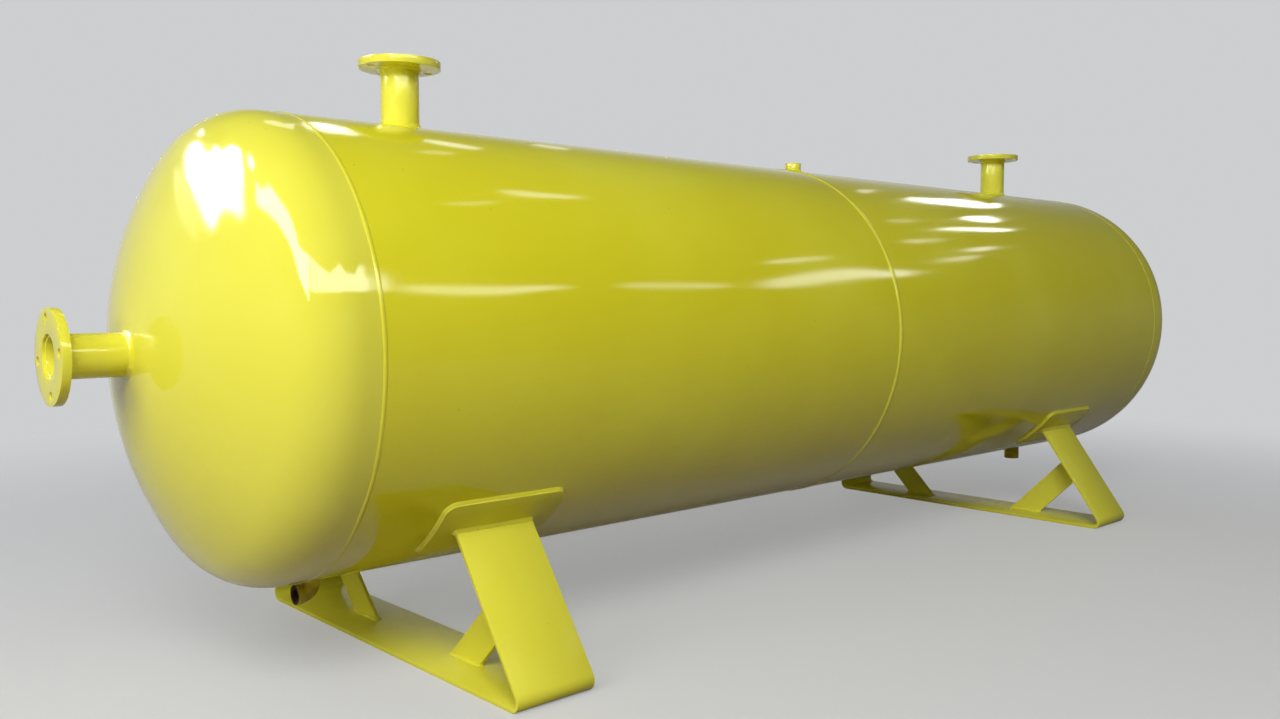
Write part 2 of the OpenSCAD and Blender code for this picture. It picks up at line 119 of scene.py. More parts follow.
# Pipe threads, in metres
THREAD_PITCH = 0.0023
THREAD_DEPTH = 0.0013
THREAD_SEAT = 0.0004

# Unevenness of the rolled plates: height, scale and stretch of the waves, share and scale of
# the dents between them, pull of a girth seam
WAVE_HEIGHT = 0.0005
WAVE_SCALE = 1.6
WAVE_STRETCH = 0.6
DENT_SHARE = 0.35
DENT_ALONG = 1.7
DENT_AROUND = 2.6
SEAM_PULL = 0.0006
SEAM_PULL_REACH = 0.045

# Softened edges, in metres
FLANGE_EDGE = 0.0013
ELBOW_EDGE = 0.0012
PAD_EDGE = 0.0014
SADDLE_EDGE = 0.0012
BRACE_EDGE = 0.0011

# Numbers of sides and steps
ROUND_SIDES = 256
FLANGE_SIDES = 96
FITTING_SIDES = 72
HOLE_SIDES = 64
ELBOW_SIDES = 48
BOLT_HOLE_SIDES = 40
THREAD_SIDES = 40
COURSE_STEPS = 30
CROWN_STEPS = 16
KNUCKLE_STEPS = 12
ELBOW_STEPS = 16
FOLD_STEPS = 12
PAD_STRIPS = 20

# Modelling distances, in metres: doubles that merge while a shape is drawn and when it is
# closed, slivers that go, how far a drill reaches through a wall and out of a face, how near
# to a hole a course's ring of vertices is left out, and how far from the hole one stands instead
MERGE_REACH = 0.00001
CLOSE_REACH = 0.00002
SLIVER = 0.000003
DRILL_REACH = 0.05
DRILL_OUT = 0.01
STATION_GAP = 0.02
STATION_MARGIN = 0.008

# Camera, found from the outline of the tank in a frame of 1280 by 719
IMAGE_WIDTH = 1280
IMAGE_HEIGHT = 719
CAMERA_PLACE = (-2.6115, -2.301, 0.845)
CAMERA_YAW = math.radians(42.41)
CAMERA_PITCH = math.radians(-3.55)
FOCAL_PIXELS = 1093.3
SENSOR_WIDTH = 36.0

# Panels that make the highlights: how far from the paint they stand, and how they are found
PANEL_REACH = 3.0
SLICE_STEPS = 3
TRACE_STEPS = 120
TRACE_MOVES = (Vector((0.0001, 0, 0)), Vector((0, 0.0001, 0)), Vector((0, 0, 0.0001)))

# Paint tones, linear; a yellow is given where the coat is deep, even and thin
YELLOWS = ((0.75, 0.695, 0.016, 1), (0.78, 0.74, 0.026, 1), (0.81, 0.78, 0.055, 1))
# PALE_SHEEN_YELLOWS: a paler, whiter copy of the same enamel, painted sheen that makes the left head,
# the fittings and the saddles look brightly lit
PALE_SHEEN_YELLOWS = ((0.76, 0.72, 0.056, 1), (0.79, 0.765, 0.08, 1), (0.82, 0.80, 0.12, 1))
# LIT_BEAD_YELLOWS: lighter than the shell's yellow, as painted light that the curved crowns of the
# weld beads catch
LIT_BEAD_YELLOWS = ((0.765, 0.715, 0.028, 1), (0.80, 0.77, 0.055, 1), (0.84, 0.815, 0.12, 1))
PRIMER = (0.085, 0.036, 0.018, 1)
RUST = (0.16, 0.052, 0.014, 1)
THIN_COAT = (0.30, 0.19, 0.018, 1)
# SHADED_DARK_RUST: near-black rust, partly painted shade for the dark inside of the elbow's mouth
SHADED_DARK_RUST = (0.03, 0.014, 0.008, 1)

# Enamel: scale of its patterns per metre, heights in metres, refraction
WAVES = 4.0
SMALL_WAVES = 17.0
SMALL_WAVE_SHARE = 0.10
ORANGE_PEEL = 150.0
CLOUDS = 2.2
NIBS = 24.0
NIB_GROUPS = 6.0
NIB_HEIGHT = 0.00012
THIN_PATCHES = 30.0
RUST_BLOTCHES = 14.0
BORE_BLOTCHES = 90.0
PAINT_IOR = 1.43

# Studio tones, linear: background, ceiling and side wall as mirrored, fill light,
# floor as seen and as it lights the tank
PALE = (0.61, 0.62, 0.63, 1)
CEILING = (0.12, 0.124, 0.128, 1)
WALL = (0.25, 0.254, 0.258, 1)
FILL = (0.13, 0.13, 0.135, 1)
FLOOR_TONE = (0.78, 0.78, 0.78, 1)
FLOOR_BOUNCE = (0.17, 0.13, 0.085, 1)
# Way to the side wall that is dark in mirror images, to the right of the camera's view
DARK_WALL = (0.93, -0.36, 0)
FLOOR_RADIUS = 14
FLOOR_SIDES = 96
FLOOR_LEVEL = 0.45
FLOOR_FADE_START = 1.6
FLOOR_FADE_STOP = 5.0


def node_centre(node):
    low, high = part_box(node)
    return (low + high) / 2


def node_size(node):
    low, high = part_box(node)
    return high - low


AXIS_Z = node_centre("shell_course_left").z
SHELL_RADIUS = node_size("shell_course_left").z / 2
SEAM_LEFT = node_centre("weld_girth_left").x
SEAM_MIDDLE = node_centre("weld_girth_middle").x
SEAM_RIGHT = node_centre("weld_girth_right").x
SEAMS = (SEAM_LEFT, SEAM_MIDDLE, SEAM_RIGHT)
HEAD_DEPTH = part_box("head_right")[1].x - SEAM_RIGHT
FLANGE_RADIUS = node_size("flange_end").y / 2
FLANGE_PLATE = node_size("flange_end").x
PAD_RADIUS = SHELL_RADIUS + SEAT_GAP + PAD_PLATE
KNUCKLE_CENTRE = SHELL_RADIUS - KNUCKLE_RADIUS
CROWN_CENTRE = HEAD_DEPTH - CROWN_RADIUS
BEND_OUTER = BEND_RADIUS + SADDLE_PLATE
BEND_Y = node_size("saddle_left").y / 2 - BEND_OUTER
# Way up the far leg
LEG_UP = Vector((0, -math.cos(LEG_ANGLE), math.sin(LEG_ANGLE)))
SHORES = {-1: "near", 1: "far"}


def leg_start(radius):
    """Where a face of the far leg leaves its bend, as (y, z). radius is the bend's."""
    return Vector(
        (BEND_Y + radius * math.sin(LEG_ANGLE), BEND_OUTER + radius * math.cos(LEG_ANGLE))
    )


# Start of a leg's inner face, and where a brace's middle meets it, as (y, z)
LEG_FACE = leg_start(BEND_RADIUS)
BRACE_RUN = (
    (LEG_FACE.x - BRACE_FOOT) * math.sin(BRACE_ANGLE)
    - (LEG_FACE.y - SADDLE_PLATE) * math.cos(BRACE_ANGLE)
) / math.sin(BRACE_ANGLE + LEG_ANGLE)
BRACE_HEAD = LEG_FACE + LEG_UP.yz * BRACE_RUN
# Turn, from the tank's lowest line, at which a leg's middle plane meets its pad
LEG_OFFSET = (
    BEND_Y * math.sin(LEG_ANGLE)
    + BEND_RADIUS
    + SADDLE_PLATE / 2
    - (AXIS_Z - BEND_OUTER) * math.cos(LEG_ANGLE)
)
LEG_TURN = math.pi / 2 - LEG_ANGLE + math.asin(LEG_OFFSET / PAD_RADIUS)


def leave_edit_mode():
    if bpy.context.mode != "OBJECT":
        bpy.ops.object.mode_set(mode="OBJECT")


def deselect_all():
    leave_edit_mode()
    bpy.ops.object.select_all(action="DESELECT")


def pick_only(piece):
    """Deselects everything, then selects the piece and makes it the active one."""
    deselect_all()
    piece.select_set(True)
    bpy.context.view_layer.objects.active = piece


def edit(piece, kind="FACE"):
    """Enters edit mode on the piece, with all of it selected."""
    pick_only(piece)
    bpy.ops.object.mode_set(mode="EDIT")
    bpy.ops.mesh.select_mode(type=kind)
    bpy.ops.mesh.select_all(action="SELECT")


def settle(piece):
    """Puts the piece's place into its mesh."""
    pick_only(piece)
    bpy.ops.object.transform_apply(location=True, rotation=True, scale=True)


def stand_up(piece, place, axis):
    """Moves a piece that was modelled about Z to its place, with Z along the given axis."""
    piece.rotation_euler = Vector(axis).to_track_quat("Z", "Y").to_euler()
    piece.location = place
    settle(piece)


def add_shape(operator, name, **settings):
    """Adds a shape with nothing else selected, and names it."""
    deselect_all()
    operator(**settings)
    shape = bpy.context.object
    shape.name = name
    return shape


def modify(piece, kind, **settings):
    """Adds a modifier with the given settings and applies it."""
    modifier = piece.modifiers.new(kind.lower(), kind)
    for name, value in settings.items():
        setattr(modifier, name, value)
    pick_only(piece)
    bpy.ops.object.modifier_apply(modifier=modifier.name)


def extrude(way):
    """Draws what is selected out along the given way."""
    bpy.ops.mesh.extrude_region_move(TRANSFORM_OT_translate={"value": way})


def close_surface(piece):
    """Merges the doubles, fills open ends and turns all faces outwards."""
    edit(piece, "VERT")
    bpy.ops.mesh.remove_doubles(threshold=CLOSE_REACH)
    bpy.ops.mesh.select_all(action="DESELECT")
    bpy.ops.mesh.select_non_manifold(extend=False)
    if piece.data.total_vert_sel:
        bpy.ops.mesh.fill_holes(sides=0)
    bpy.ops.mesh.select_all(action="SELECT")
    bpy.ops.mesh.normals_make_consistent(inside=False)
    leave_edit_mode()


def drop_slivers(piece):
    """Takes out edges and faces without extent, which a bevel or a cut leaves."""
    edit(piece, "VERT")
    bpy.ops.mesh.dissolve_degenerate(threshold=SLIVER)
    leave_edit_mode()


def soften_edges(piece, width, steps=2, angle=40):
    """Rounds the piece's sharp edges, as thick paint does."""
    limit = math.radians(angle)
    modify(piece, "BEVEL", width=width, segments=steps, limit_method="ANGLE", angle_limit=limit)
    drop_slivers(piece)


def smooth(piece, angle=35):
    pick_only(piece)
    bpy.ops.object.shade_smooth_by_angle(angle=math.radians(angle))


def cut_away(piece, tool):
    """Cuts the tool's shape out of the piece, and removes the tool."""
    modify(piece, "BOOLEAN", operation="DIFFERENCE", solver="EXACT", object=tool)
    bpy.data.objects.remove(tool)
    drop_slivers(piece)


def drill(piece, radius, start, stop, sides=HOLE_SIDES):
    """Cuts a round hole into the piece, from one point to another."""
    start = Vector(start)
    stop = Vector(stop)
    tool = add_shape(
        bpy.ops.mesh.primitive_cylinder_add,
        "drill",
        vertices=sides,
        radius=radius,
        depth=(stop - start).length,
    )
    stand_up(tool, (start + stop) / 2, stop - start)
    cut_away(piece, tool)


def draw_line(name, points, closed=False):
    """Chain of edges through the points, drawn by extruding its last vertex from point to point."""
    points = [Vector(point) for point in points]
    line = add_shape(bpy.ops.mesh.primitive_plane_add, name, size=0.001)
    edit(line, "VERT")
    bpy.ops.mesh.merge(type="CENTER")
    bpy.ops.transform.translate(value=points[0])
    for here, there in zip(points, points[1:]):
        extrude(there - here)
    if closed:
        extrude(points[0] - points[-1])
        bpy.ops.mesh.select_all(action="SELECT")
        bpy.ops.mesh.remove_doubles(threshold=MERGE_REACH)
    leave_edit_mode()
    return line


def spin_round(piece, centre, axis, steps):
    """Spins an outline all the way round an axis and closes its seam."""
    edit(piece, "VERT")
    bpy.ops.mesh.spin(steps=steps, angle=2 * math.pi, center=centre, axis=axis)
    bpy.ops.mesh.select_all(action="SELECT")
    bpy.ops.mesh.remove_doubles(threshold=MERGE_REACH)
    bpy.ops.mesh.normals_make_consistent(inside=False)
    leave_edit_mode()


def finish_piece(piece, material, slot, *nodes):
    """Gives the piece its paint, lets it ride on the tank and stand for the named nodes."""
    piece.data.materials.clear()
    piece.data.materials.append(material)
    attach(piece, "root")
    if nodes:
        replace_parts(piece, *nodes)


def shader_node(tree, kind, inputs=None, **settings):
    """Adds a node; an input is a value, or the socket that feeds it."""
    made = tree.nodes.new(kind)
    for name, value in settings.items():
        setattr(made, name, value)
    for name, value in (inputs or {}).items():
        if isinstance(value, bpy.types.NodeSocket):
            tree.links.new(value, made.inputs[name])
        else:
            made.inputs[name].default_value = value
    return made


def new_group(name, inputs):
    """A node group with inputs of the given values; returns its tree and the inputs' sockets."""
    tree = bpy.data.node_groups.new(name, "ShaderNodeTree")
    for label, value in inputs.items():
        kind = "NodeSocketVector" if isinstance(value, tuple) else "NodeSocketFloat"
        socket = tree.interface.new_socket(name=label, in_out="INPUT", socket_type=kind)
        socket.default_value = value
    return tree, tree.nodes.new("NodeGroupInput").outputs


def close_group(tree, outputs):
    """Lets the group put out the given numbers."""
    for label in outputs:
        tree.interface.new_socket(name=label, in_out="OUTPUT", socket_type="NodeSocketFloat")
    end = tree.nodes.new("NodeGroupOutput")
    for label, socket in outputs.items():
        tree.links.new(socket, end.inputs[label])


def math_node(tree, operation, *values):
    made = shader_node(tree, "ShaderNodeMath", dict(enumerate(values)), operation=operation)
    return made.outputs[0]


def vector_node(tree, operation, *values):
    """Result of a vector operation: a number for a length or a dot product."""
    made = shader_node(
        tree, "ShaderNodeVectorMath", dict(enumerate(values)), operation=operation
    )
    return made.outputs["Value" if operation in ("DOT_PRODUCT", "LENGTH") else "Vector"]


def ramp(tree, value, low, high, low_out=0.0, high_out=1.0):
    made = shader_node(
        tree,
        "ShaderNodeMapRange",
        {
            "Value": value,
            "From Min": low,
            "From Max": high,
            "To Min": low_out,
            "To Max": high_out,
        },
        interpolation_type="SMOOTHSTEP",
    )
    return made.outputs["Result"]


def mix_colour(tree, factor, first, second):
    made = shader_node(
        tree, "ShaderNodeMix", {0: factor, 6: first, 7: second}, data_type="RGBA"
    )
    return made.outputs[2]


def noise_value(tree, vector, scale, detail=2.0, roughness=0.5):
    made = shader_node(
        tree,
        "ShaderNodeTexNoise",
        {"Vector": vector, "Scale": scale, "Detail": detail, "Roughness": roughness},
    )
    return made.outputs["Fac"]


def make_paint_skin_group():
    """Surface of sprayed enamel: waves of the plate below, orange peel and small dust nibs."""
    tree, source = new_group(
        "paint_skin",
        {"Vector": (0, 0, 0), "Stretch": (1, 1, 1), "Wave Height": 0.0005, "Peel Height": 0.00001},
    )
    vector = source["Vector"]
    stretched = vector_node(tree, "MULTIPLY", vector, source["Stretch"])
    wave = noise_value(tree, stretched, WAVES, 1.0, 0.4)
    ripple = noise_value(tree, stretched, SMALL_WAVES, 1.0, 0.4)
    peel = noise_value(tree, vector, ORANGE_PEEL, 1.0, 0.5)
    cell = shader_node(
        tree,
        "ShaderNodeTexVoronoi",
        {"Vector": vector, "Scale": NIBS, "Randomness": 1.0},
        feature="F1",
    )
    nib = ramp(tree, cell.outputs["Distance"], 0.02, 0.045, 1.0, 0.0)
    chance = noise_value(tree, vector, NIB_GROUPS, 0.0)
    nib = math_node(tree, "MULTIPLY", nib, ramp(tree, chance, 0.60, 0.64))
    height = math_node(tree, "MULTIPLY", wave, source["Wave Height"])
    small = math_node(tree, "MULTIPLY", ripple, source["Wave Height"])
    reliefs = ((small, SMALL_WAVE_SHARE), (peel, source["Peel Height"]), (nib, NIB_HEIGHT))
    for relief, share in reliefs:
        height = math_node(tree, "ADD", height, math_node(tree, "MULTIPLY", relief, share))
    cloud = noise_value(tree, vector, CLOUDS, 3.0, 0.5)
    close_group(tree, {"Height": height, "Cloud": cloud, "Nib": nib})
    return tree


def make_inner_wall_group():
    """Mask of a wall's inner side: its normal points back towards the given centre line."""
    tree, source = new_group("inner_wall", {"Centre": (0, 0, 0), "Across": (1, 1, 1)})
    place = tree.nodes.new("ShaderNodeTexCoord")
    offset = vector_node(tree, "SUBTRACT", place.outputs["Object"], source["Centre"])
    offset = vector_node(tree, "MULTIPLY", offset, source["Across"])
    facing = vector_node(tree, "DOT_PRODUCT", offset, place.outputs["Normal"])
    close_group(tree, {"Mask": math_node(tree, "LESS_THAN", facing, -0.01)})
    return tree


PAINT_SKIN = make_paint_skin_group()
INNER_WALL = make_inner_wall_group()


def new_material(name):
    """A material, its node tree and its shader."""
    material = bpy.data.materials.new(name)
    material.use_nodes = True
    tree = material.node_tree
    return material, tree, tree.nodes["Principled BSDF"]


def finish_surface(tree, shader, tone, rough, height, relief):
    """Feeds a material's colour, roughness and relief; the height is in units of relief metres."""
    bump = shader_node(
        tree, "ShaderNodeBump", {"Height": height, "Distance": relief, "Strength": 1.0}
    )
    tree.links.new(tone, shader.inputs["Base Color"])
    tree.links.new(rough, shader.inputs["Roughness"])
    tree.links.new(bump.outputs["Normal"], shader.inputs["Normal"])


def enamel(
    name,
    waves,
    peel,
    rough,
    stretch=(1, 1, 1),
    yellows=YELLOWS,
    mirror=0.5,
    thin=0.0,
    inner=None,
):
    """Gloss enamel over plate that is uneven by the height of its waves.

    peel is the height of the orange peel, rough the roughness where the coat is best, mirror the
    shader's specular level, thin the share at which the metal's brown shows through a poor coat,
    and inner the centre and the cross directions of a hollow wall's bare inside.
    """
    deep, even, pale = yellows
    material, tree, shader = new_material(name)
    shader.inputs["IOR"].default_value = PAINT_IOR
    shader.inputs["Specular IOR Level"].default_value = mirror
    place = tree.nodes.new("ShaderNodeTexCoord").outputs["Object"]
    skin = shader_node(
        tree,
        "ShaderNodeGroup",
        {"Vector": place, "Stretch": stretch, "Wave Height": waves, "Peel Height": peel},
        node_tree=PAINT_SKIN,
    )
    cloud = skin.outputs["Cloud"]
    tone = mix_colour(tree, ramp(tree, cloud, 0.35, 0.7), deep, even)
    tone = mix_colour(tree, ramp(tree, cloud, 0.56, 0.74, 0.0, 0.35), tone, pale)
    tone = mix_colour(tree, math_node(tree, "MULTIPLY", skin.outputs["Nib"], 0.5), tone, PRIMER)
    if thin:
        patch = noise_value(tree, place, THIN_PATCHES, 3.0, 0.6)
        tone = mix_colour(tree, ramp(tree, patch, 0.3, 0.65, thin * 0.4, thin), tone, THIN_COAT)
    rough = ramp(tree, cloud, 0.3, 0.75, rough, rough * 1.9)
    if inner:
        centre, across = inner
        mask = shader_node(
            tree,
            "ShaderNodeGroup",
            {"Centre": centre, "Across": across},
            node_tree=INNER_WALL,
        ).outputs["Mask"]
        blotch = noise_value(tree, place, RUST_BLOTCHES, 5.0, 0.6)
        bare = mix_colour(tree, ramp(tree, blotch, 0.42, 0.62), PRIMER, RUST)
        tone = mix_colour(tree, mask, tone, bare)
        rough = math_node(tree, "MAXIMUM", rough, math_node(tree, "MULTIPLY", mask, 0.75))
    finish_surface(tree, shader, tone, rough, skin.outputs["Height"], 1.0)
    return material


AXIS_POINT = (0, 0, AXIS_Z)
shell_paint = enamel(
    "shell_paint",
    waves=0.0010,
    peel=0.000010,
    rough=0.07,
    stretch=(0.28, 1, 1),
    inner=(AXIS_POINT, (0, 1, 1)),
)
# The left head's paler yellow is painted sheen, the look of its brightly lit face; its enamel is the
# shell's
left_head_sheen_paint = enamel(
    "left_head_sheen_paint",
    waves=0.0011,
    peel=0.000010,
    rough=0.07,
    yellows=PALE_SHEEN_YELLOWS,
    inner=((SEAM_LEFT, 0, AXIS_Z), (1, 1, 1)),
)
right_head_paint = enamel(
    "right_head_paint",
    waves=0.0008,
    peel=0.000010,
    rough=0.07,
    inner=((SEAM_RIGHT, 0, AXIS_Z), (1, 1, 1)),
)
# The fittings and the saddles also take the paler yellow, as painted sheen
fitting_paint = enamel(
    "fitting_paint", waves=0.0003, peel=0.000015, rough=0.12, yellows=PALE_SHEEN_YELLOWS, mirror=0.35
)
# The beads' lighter yellow is painted light on the same enamel
weld_lit_paint = enamel("weld_lit_paint", waves=0.0003, peel=0.00002, rough=0.12, yellows=LIT_BEAD_YELLOWS)
saddle_paint = enamel(
    "saddle_paint", waves=0.0007, peel=0.00003, rough=0.17, yellows=PALE_SHEEN_YELLOWS, mirror=0.07
)
thin_paint = enamel(
    "thin_paint", waves=0.0003, peel=0.00003, rough=0.22, mirror=0.3, thin=0.8
)


def make_shaded_bore_rust():
    """Bare, rusty metal inside the drain elbow, made near black as painted shade deep in its mouth."""
    material, tree, shader = new_material("shaded_bore_rust")
    shader.inputs["Specular IOR Level"].default_value = 0.2
    place = tree.nodes.new("ShaderNodeTexCoord").outputs["Object"]
    blotch = noise_value(tree, place, BORE_BLOTCHES, 4.0, 0.6)
    tone = mix_colour(tree, ramp(tree, blotch, 0.42, 0.62), SHADED_DARK_RUST, PRIMER)
    rough = ramp(tree, blotch, 0.3, 0.7, 0.75, 0.95)
    finish_surface(tree, shader, tone, rough, blotch, 0.0004)
    return material


shaded_bore_rust = make_shaded_bore_rust()


def plate_offset(point):
    """How far a rolled or dished plate lies off its true surface at a point."""
    spot = Vector(point) * WAVE_SCALE
    wave = noise.noise(Vector((spot.x * WAVE_STRETCH, spot.y, spot.z)))
    dent = Vector((spot.x * DENT_ALONG + 9.0, spot.y * DENT_AROUND, spot.z * DENT_AROUND))
    wave += DENT_SHARE * noise.noise(dent)
    pull = sum(math.exp(-(((point[0] - seam) / SEAM_PULL_REACH) ** 2)) for seam in SEAMS)
    return WAVE_HEIGHT * wave * (1 - min(1, pull)) - SEAM_PULL * min(1, pull)


def make_wavy(piece):
    """Gives a plate its slight unevenness, along its own normals."""
    shifts = [vertex.normal * plate_offset(vertex.co) for vertex in piece.data.vertices]
    for vertex, shift in zip(piece.data.vertices, shifts):
        vertex.co += shift


def give_wall(piece, thickness):
    """Thickens an outer surface inwards."""
    modify(piece, "SOLIDIFY", thickness=thickness, offset=-1, use_even_offset=True)


def face_outwards(piece):
    """Turns an open surface round the tank's axis so that its faces look away from the axis."""
    rim = max(piece.data.polygons, key=lambda face: (face.center - Vector(AXIS_POINT)).yz.length)
    away = rim.center - Vector((rim.center.x, 0, AXIS_Z))
    if rim.normal.dot(away) < 0:
        edit(piece)
        bpy.ops.mesh.flip_normals()
        leave_edit_mode()


def make_course(end, start, stop, fittings):
    """Rolled course: a ring of plate drawn out in steps, with a hole for each of its fittings."""
    start += ROOT_GAP / 2
    stop -= ROOT_GAP / 2
    steps = range(COURSE_STEPS + 1)
    stations = {start + (stop - start) * step / COURSE_STEPS for step in steps}
    for x, radius, side in fittings:
        stations -= {place for place in stations if abs(place - x) < radius + STATION_GAP}
        stations |= {x - radius - STATION_MARGIN, x + radius + STATION_MARGIN}
    stations = sorted(stations)
    course = add_shape(
        bpy.ops.mesh.primitive_circle_add,
        f"rolled_course_{end}",
        vertices=ROUND_SIDES,
        radius=SHELL_RADIUS,
        location=(stations[0], 0, AXIS_Z),
        rotation=(0, math.pi / 2, 0),
    )
    settle(course)
    edit(course, "EDGE")
    for here, there in zip(stations, stations[1:]):
        extrude((there - here, 0, 0))
    leave_edit_mode()
    face_outwards(course)
    make_wavy(course)
    give_wall(course, PLATE)
    for x, radius, side in fittings:
        wall = AXIS_Z + side * SHELL_RADIUS
        reach = side * DRILL_REACH
        drill(course, radius, (x, 0, wall - reach), (x, 0, wall + reach))
    smooth(course)
    finish_piece(course, shell_paint, "shell_enamel", f"shell_course_{end}")


def head_outline(first_radius):
    """Outside of a dished head from its pole to its seam: distance out of the seam, and radius."""
    tangent = math.atan2(KNUCKLE_CENTRE, STRAIGHT_FLANGE - CROWN_CENTRE)
    first = math.asin(first_radius / CROWN_RADIUS)
    for step in range(CROWN_STEPS + 1):
        angle = first + (tangent - first) * step / CROWN_STEPS
        yield CROWN_CENTRE + CROWN_RADIUS * math.cos(angle), CROWN_RADIUS * math.sin(angle)
    for step in range(1, KNUCKLE_STEPS + 1):
        angle = tangent + (math.pi / 2 - tangent) * step / KNUCKLE_STEPS
        yield (
            STRAIGHT_FLANGE + KNUCKLE_RADIUS * math.cos(angle),
            KNUCKLE_CENTRE + KNUCKLE_RADIUS * math.sin(angle),
        )
    yield STRAIGHT_FLANGE / 2, SHELL_RADIUS
    yield ROOT_GAP / 2, SHELL_RADIUS


def make_head(end, seam, side, first_radius, material):
    """Dished head, spun from its outline. side is -1 for the left head and 1 for the right one."""
    points = [
        (seam + side * out, 0, AXIS_Z + radius) for out, radius in head_outline(first_radius)
    ]
    head = draw_line(f"dished_head_{end}", points)
    spin_round(head, (0, 0, AXIS_Z), (1, 0, 0), ROUND_SIDES)
    face_outwards(head)
    make_wavy(head)
    give_wall(head, PLATE)
    smooth(head)
    finish_piece(head, material, "shell_enamel", f"head_{end}")


TOP_LEFT = node_centre("neck_top_left").x
TOP_RIGHT = node_centre("neck_top_right").x
COUPLING_X = node_centre("coupling_top").x
STUB_X = node_centre("stub_bottom_right").x
DRAIN_X = node_centre("drain_pipe").x
NECK_HOLE = NECK_RADIUS + SEAT_GAP
COUPLING_RADIUS = node_size("coupling_top").x / 2
STUB_RADIUS = node_size("stub_bottom_right").x / 2
DRAIN_RADIUS = node_size("drain_pipe").x / 2

# A course's fittings: place along the tank, radius of the hole, 1 on top and -1 below
LEFT_FITTINGS = ((TOP_LEFT, NECK_HOLE, 1), (DRAIN_X, DRAIN_RADIUS + SEAT_GAP, -1))
RIGHT_FITTINGS = (
    (COUPLING_X, COUPLING_RADIUS + SEAT_GAP, 1),
    (TOP_RIGHT, NECK_HOLE, 1),
    (STUB_X, STUB_RADIUS + SEAT_GAP, -1),
)
make_course("left", SEAM_LEFT, SEAM_MIDDLE, LEFT_FITTINGS)
make_course("right", SEAM_MIDDLE, SEAM_RIGHT, RIGHT_FITTINGS)
make_head("left", SEAM_LEFT, -1, NECK_HOLE, left_head_sheen_paint)
make_head("right", SEAM_RIGHT, 1, 0, right_head_paint)


def butt_section(half_width, crown):
    """Section of a butt weld: lead in ripples, place across the seam, height over the plate."""
    section = [(0, -ROOT_GAP / 2, -PLATE), (0, ROOT_GAP / 2, -PLATE)]
    for share in (1, 0.86, 0.55, 0, -0.55, -0.86, -1):
        cap = 1 - share * share
        section.append((CAP_LEAD * cap, half_width * share, crown * cap**0.8 - CAP_ROOT))
    return section


def fillet_section(leg, bulge):
    """Section of a fillet weld in a corner: lead in ripples, place across, height."""
    section = [(0, -FILLET_ROOT, -FILLET_ROOT), (0, leg, -FILLET_ROOT)]
    for share in (0.06, 0.28, 0.5, 0.72, 0.94):
        swell = bulge * leg * 4 * share * (1 - share)
        lead = 2 * share * (1 - share)
        section.append((lead, leg * (1 - share) + swell, leg * share + swell))
    section.append((0, -FILLET_ROOT, leg))
    return section


def ripple_strip(name, section, pitch, count):
    """Strip of weld ripples along X, one of them drawn and then repeated."""
    strip = add_shape(
        bpy.ops.mesh.primitive_circle_add, name, vertices=len(section), radius=0.01
    )
    for vertex, (lead, across, rise) in zip(strip.data.vertices, section):
        vertex.co = (lead * pitch, across, rise)
    edit(strip, "EDGE")
    for share, swell in RIPPLE_STEPS:
        extrude((pitch * share, 0, 0))
        bpy.ops.transform.resize(value=(1, 1, swell), center_override=(0, 0, 0))
    leave_edit_mode()
    modify(
        strip,
        "ARRAY",
        use_relative_offset=False,
        use_constant_offset=True,
        constant_offset_displace=(pitch, 0, 0),
        count=count,
        use_merge_vertices=True,
        merge_threshold=MERGE_REACH,
    )
    return strip


def lay_bead(name, section, length, place, ring, *nodes):
    """Lays a strip of ripples along a route. place(along, across, height) is a point of the bead;
    the bead's width and height wander a little, as a hand-laid one's do."""
    count = max(6, round(length / RIPPLE))
    bead = ripple_strip(name, section, length / count, count)
    for vertex in bead.data.vertices:
        along, across, height = vertex.co
        spot = place(along, 0, 0)
        slow = noise.noise(spot * SLOW_SCALE)
        quick = noise.noise(spot * QUICK_SCALE + Vector((5, 5, 5)))
        wider = 1 + SLOW_WIDTH * slow + QUICK_WIDTH * quick
        if height > 0:
            height *= 1 + SLOW_HEIGHT * slow + QUICK_HEIGHT * quick
            if not ring:
                height *= min(1, 0.35 + min(along, length - along) / RUN_IN)
        vertex.co = place(along + RIPPLE_SHIFT * quick, across * wider, height)
    close_surface(bead)
    smooth(bead, 60)
    finish_piece(bead, weld_lit_paint, "weld_enamel", *nodes)
    return bead


def girth_bead(end, seam, half_width, crown):
    radius = SHELL_RADIUS - SEAM_PULL

    def place(along, across, height):
        turn = along / radius
        shift = noise.noise(Vector((math.cos(turn) * 4, math.sin(turn) * 4, seam)))
        reach = radius + height
        x = seam + across + SEAM_WANDER * shift
        return Vector((x, reach * math.sin(turn), AXIS_Z + reach * math.cos(turn)))

    section = butt_section(half_width, crown)
    length = 2 * math.pi * radius
    lay_bead(f"girth_bead_{end}", section, length, place, True, f"weld_girth_{end}")


def long_bead(end, start, stop):
    """Long seam of a course, on the far side, at the turn from the top that its node has."""
    node = f"weld_long_{end}"
    middle = node_centre(node)
    turn = math.atan2(middle.y, middle.z - AXIS_Z)
    start += SEAM_HALF_WIDTH * 0.6
    stop -= SEAM_HALF_WIDTH * 0.6

    def place(along, across, height):
        x = start + along
        shift = noise.noise(Vector((x * 5, 0, 0)))
        angle = turn + (across + LONG_SEAM_WANDER * shift) / SHELL_RADIUS
        out = Vector((0, math.sin(angle), math.cos(angle)))
        spot = Vector((x, 0, AXIS_Z)) + out * SHELL_RADIUS
        return spot + out * (plate_offset(spot) + height)

    section = butt_section(SEAM_HALF_WIDTH, SEAM_CROWN)
    lay_bead(f"long_bead_{end}", section, stop - start, place, False, node)


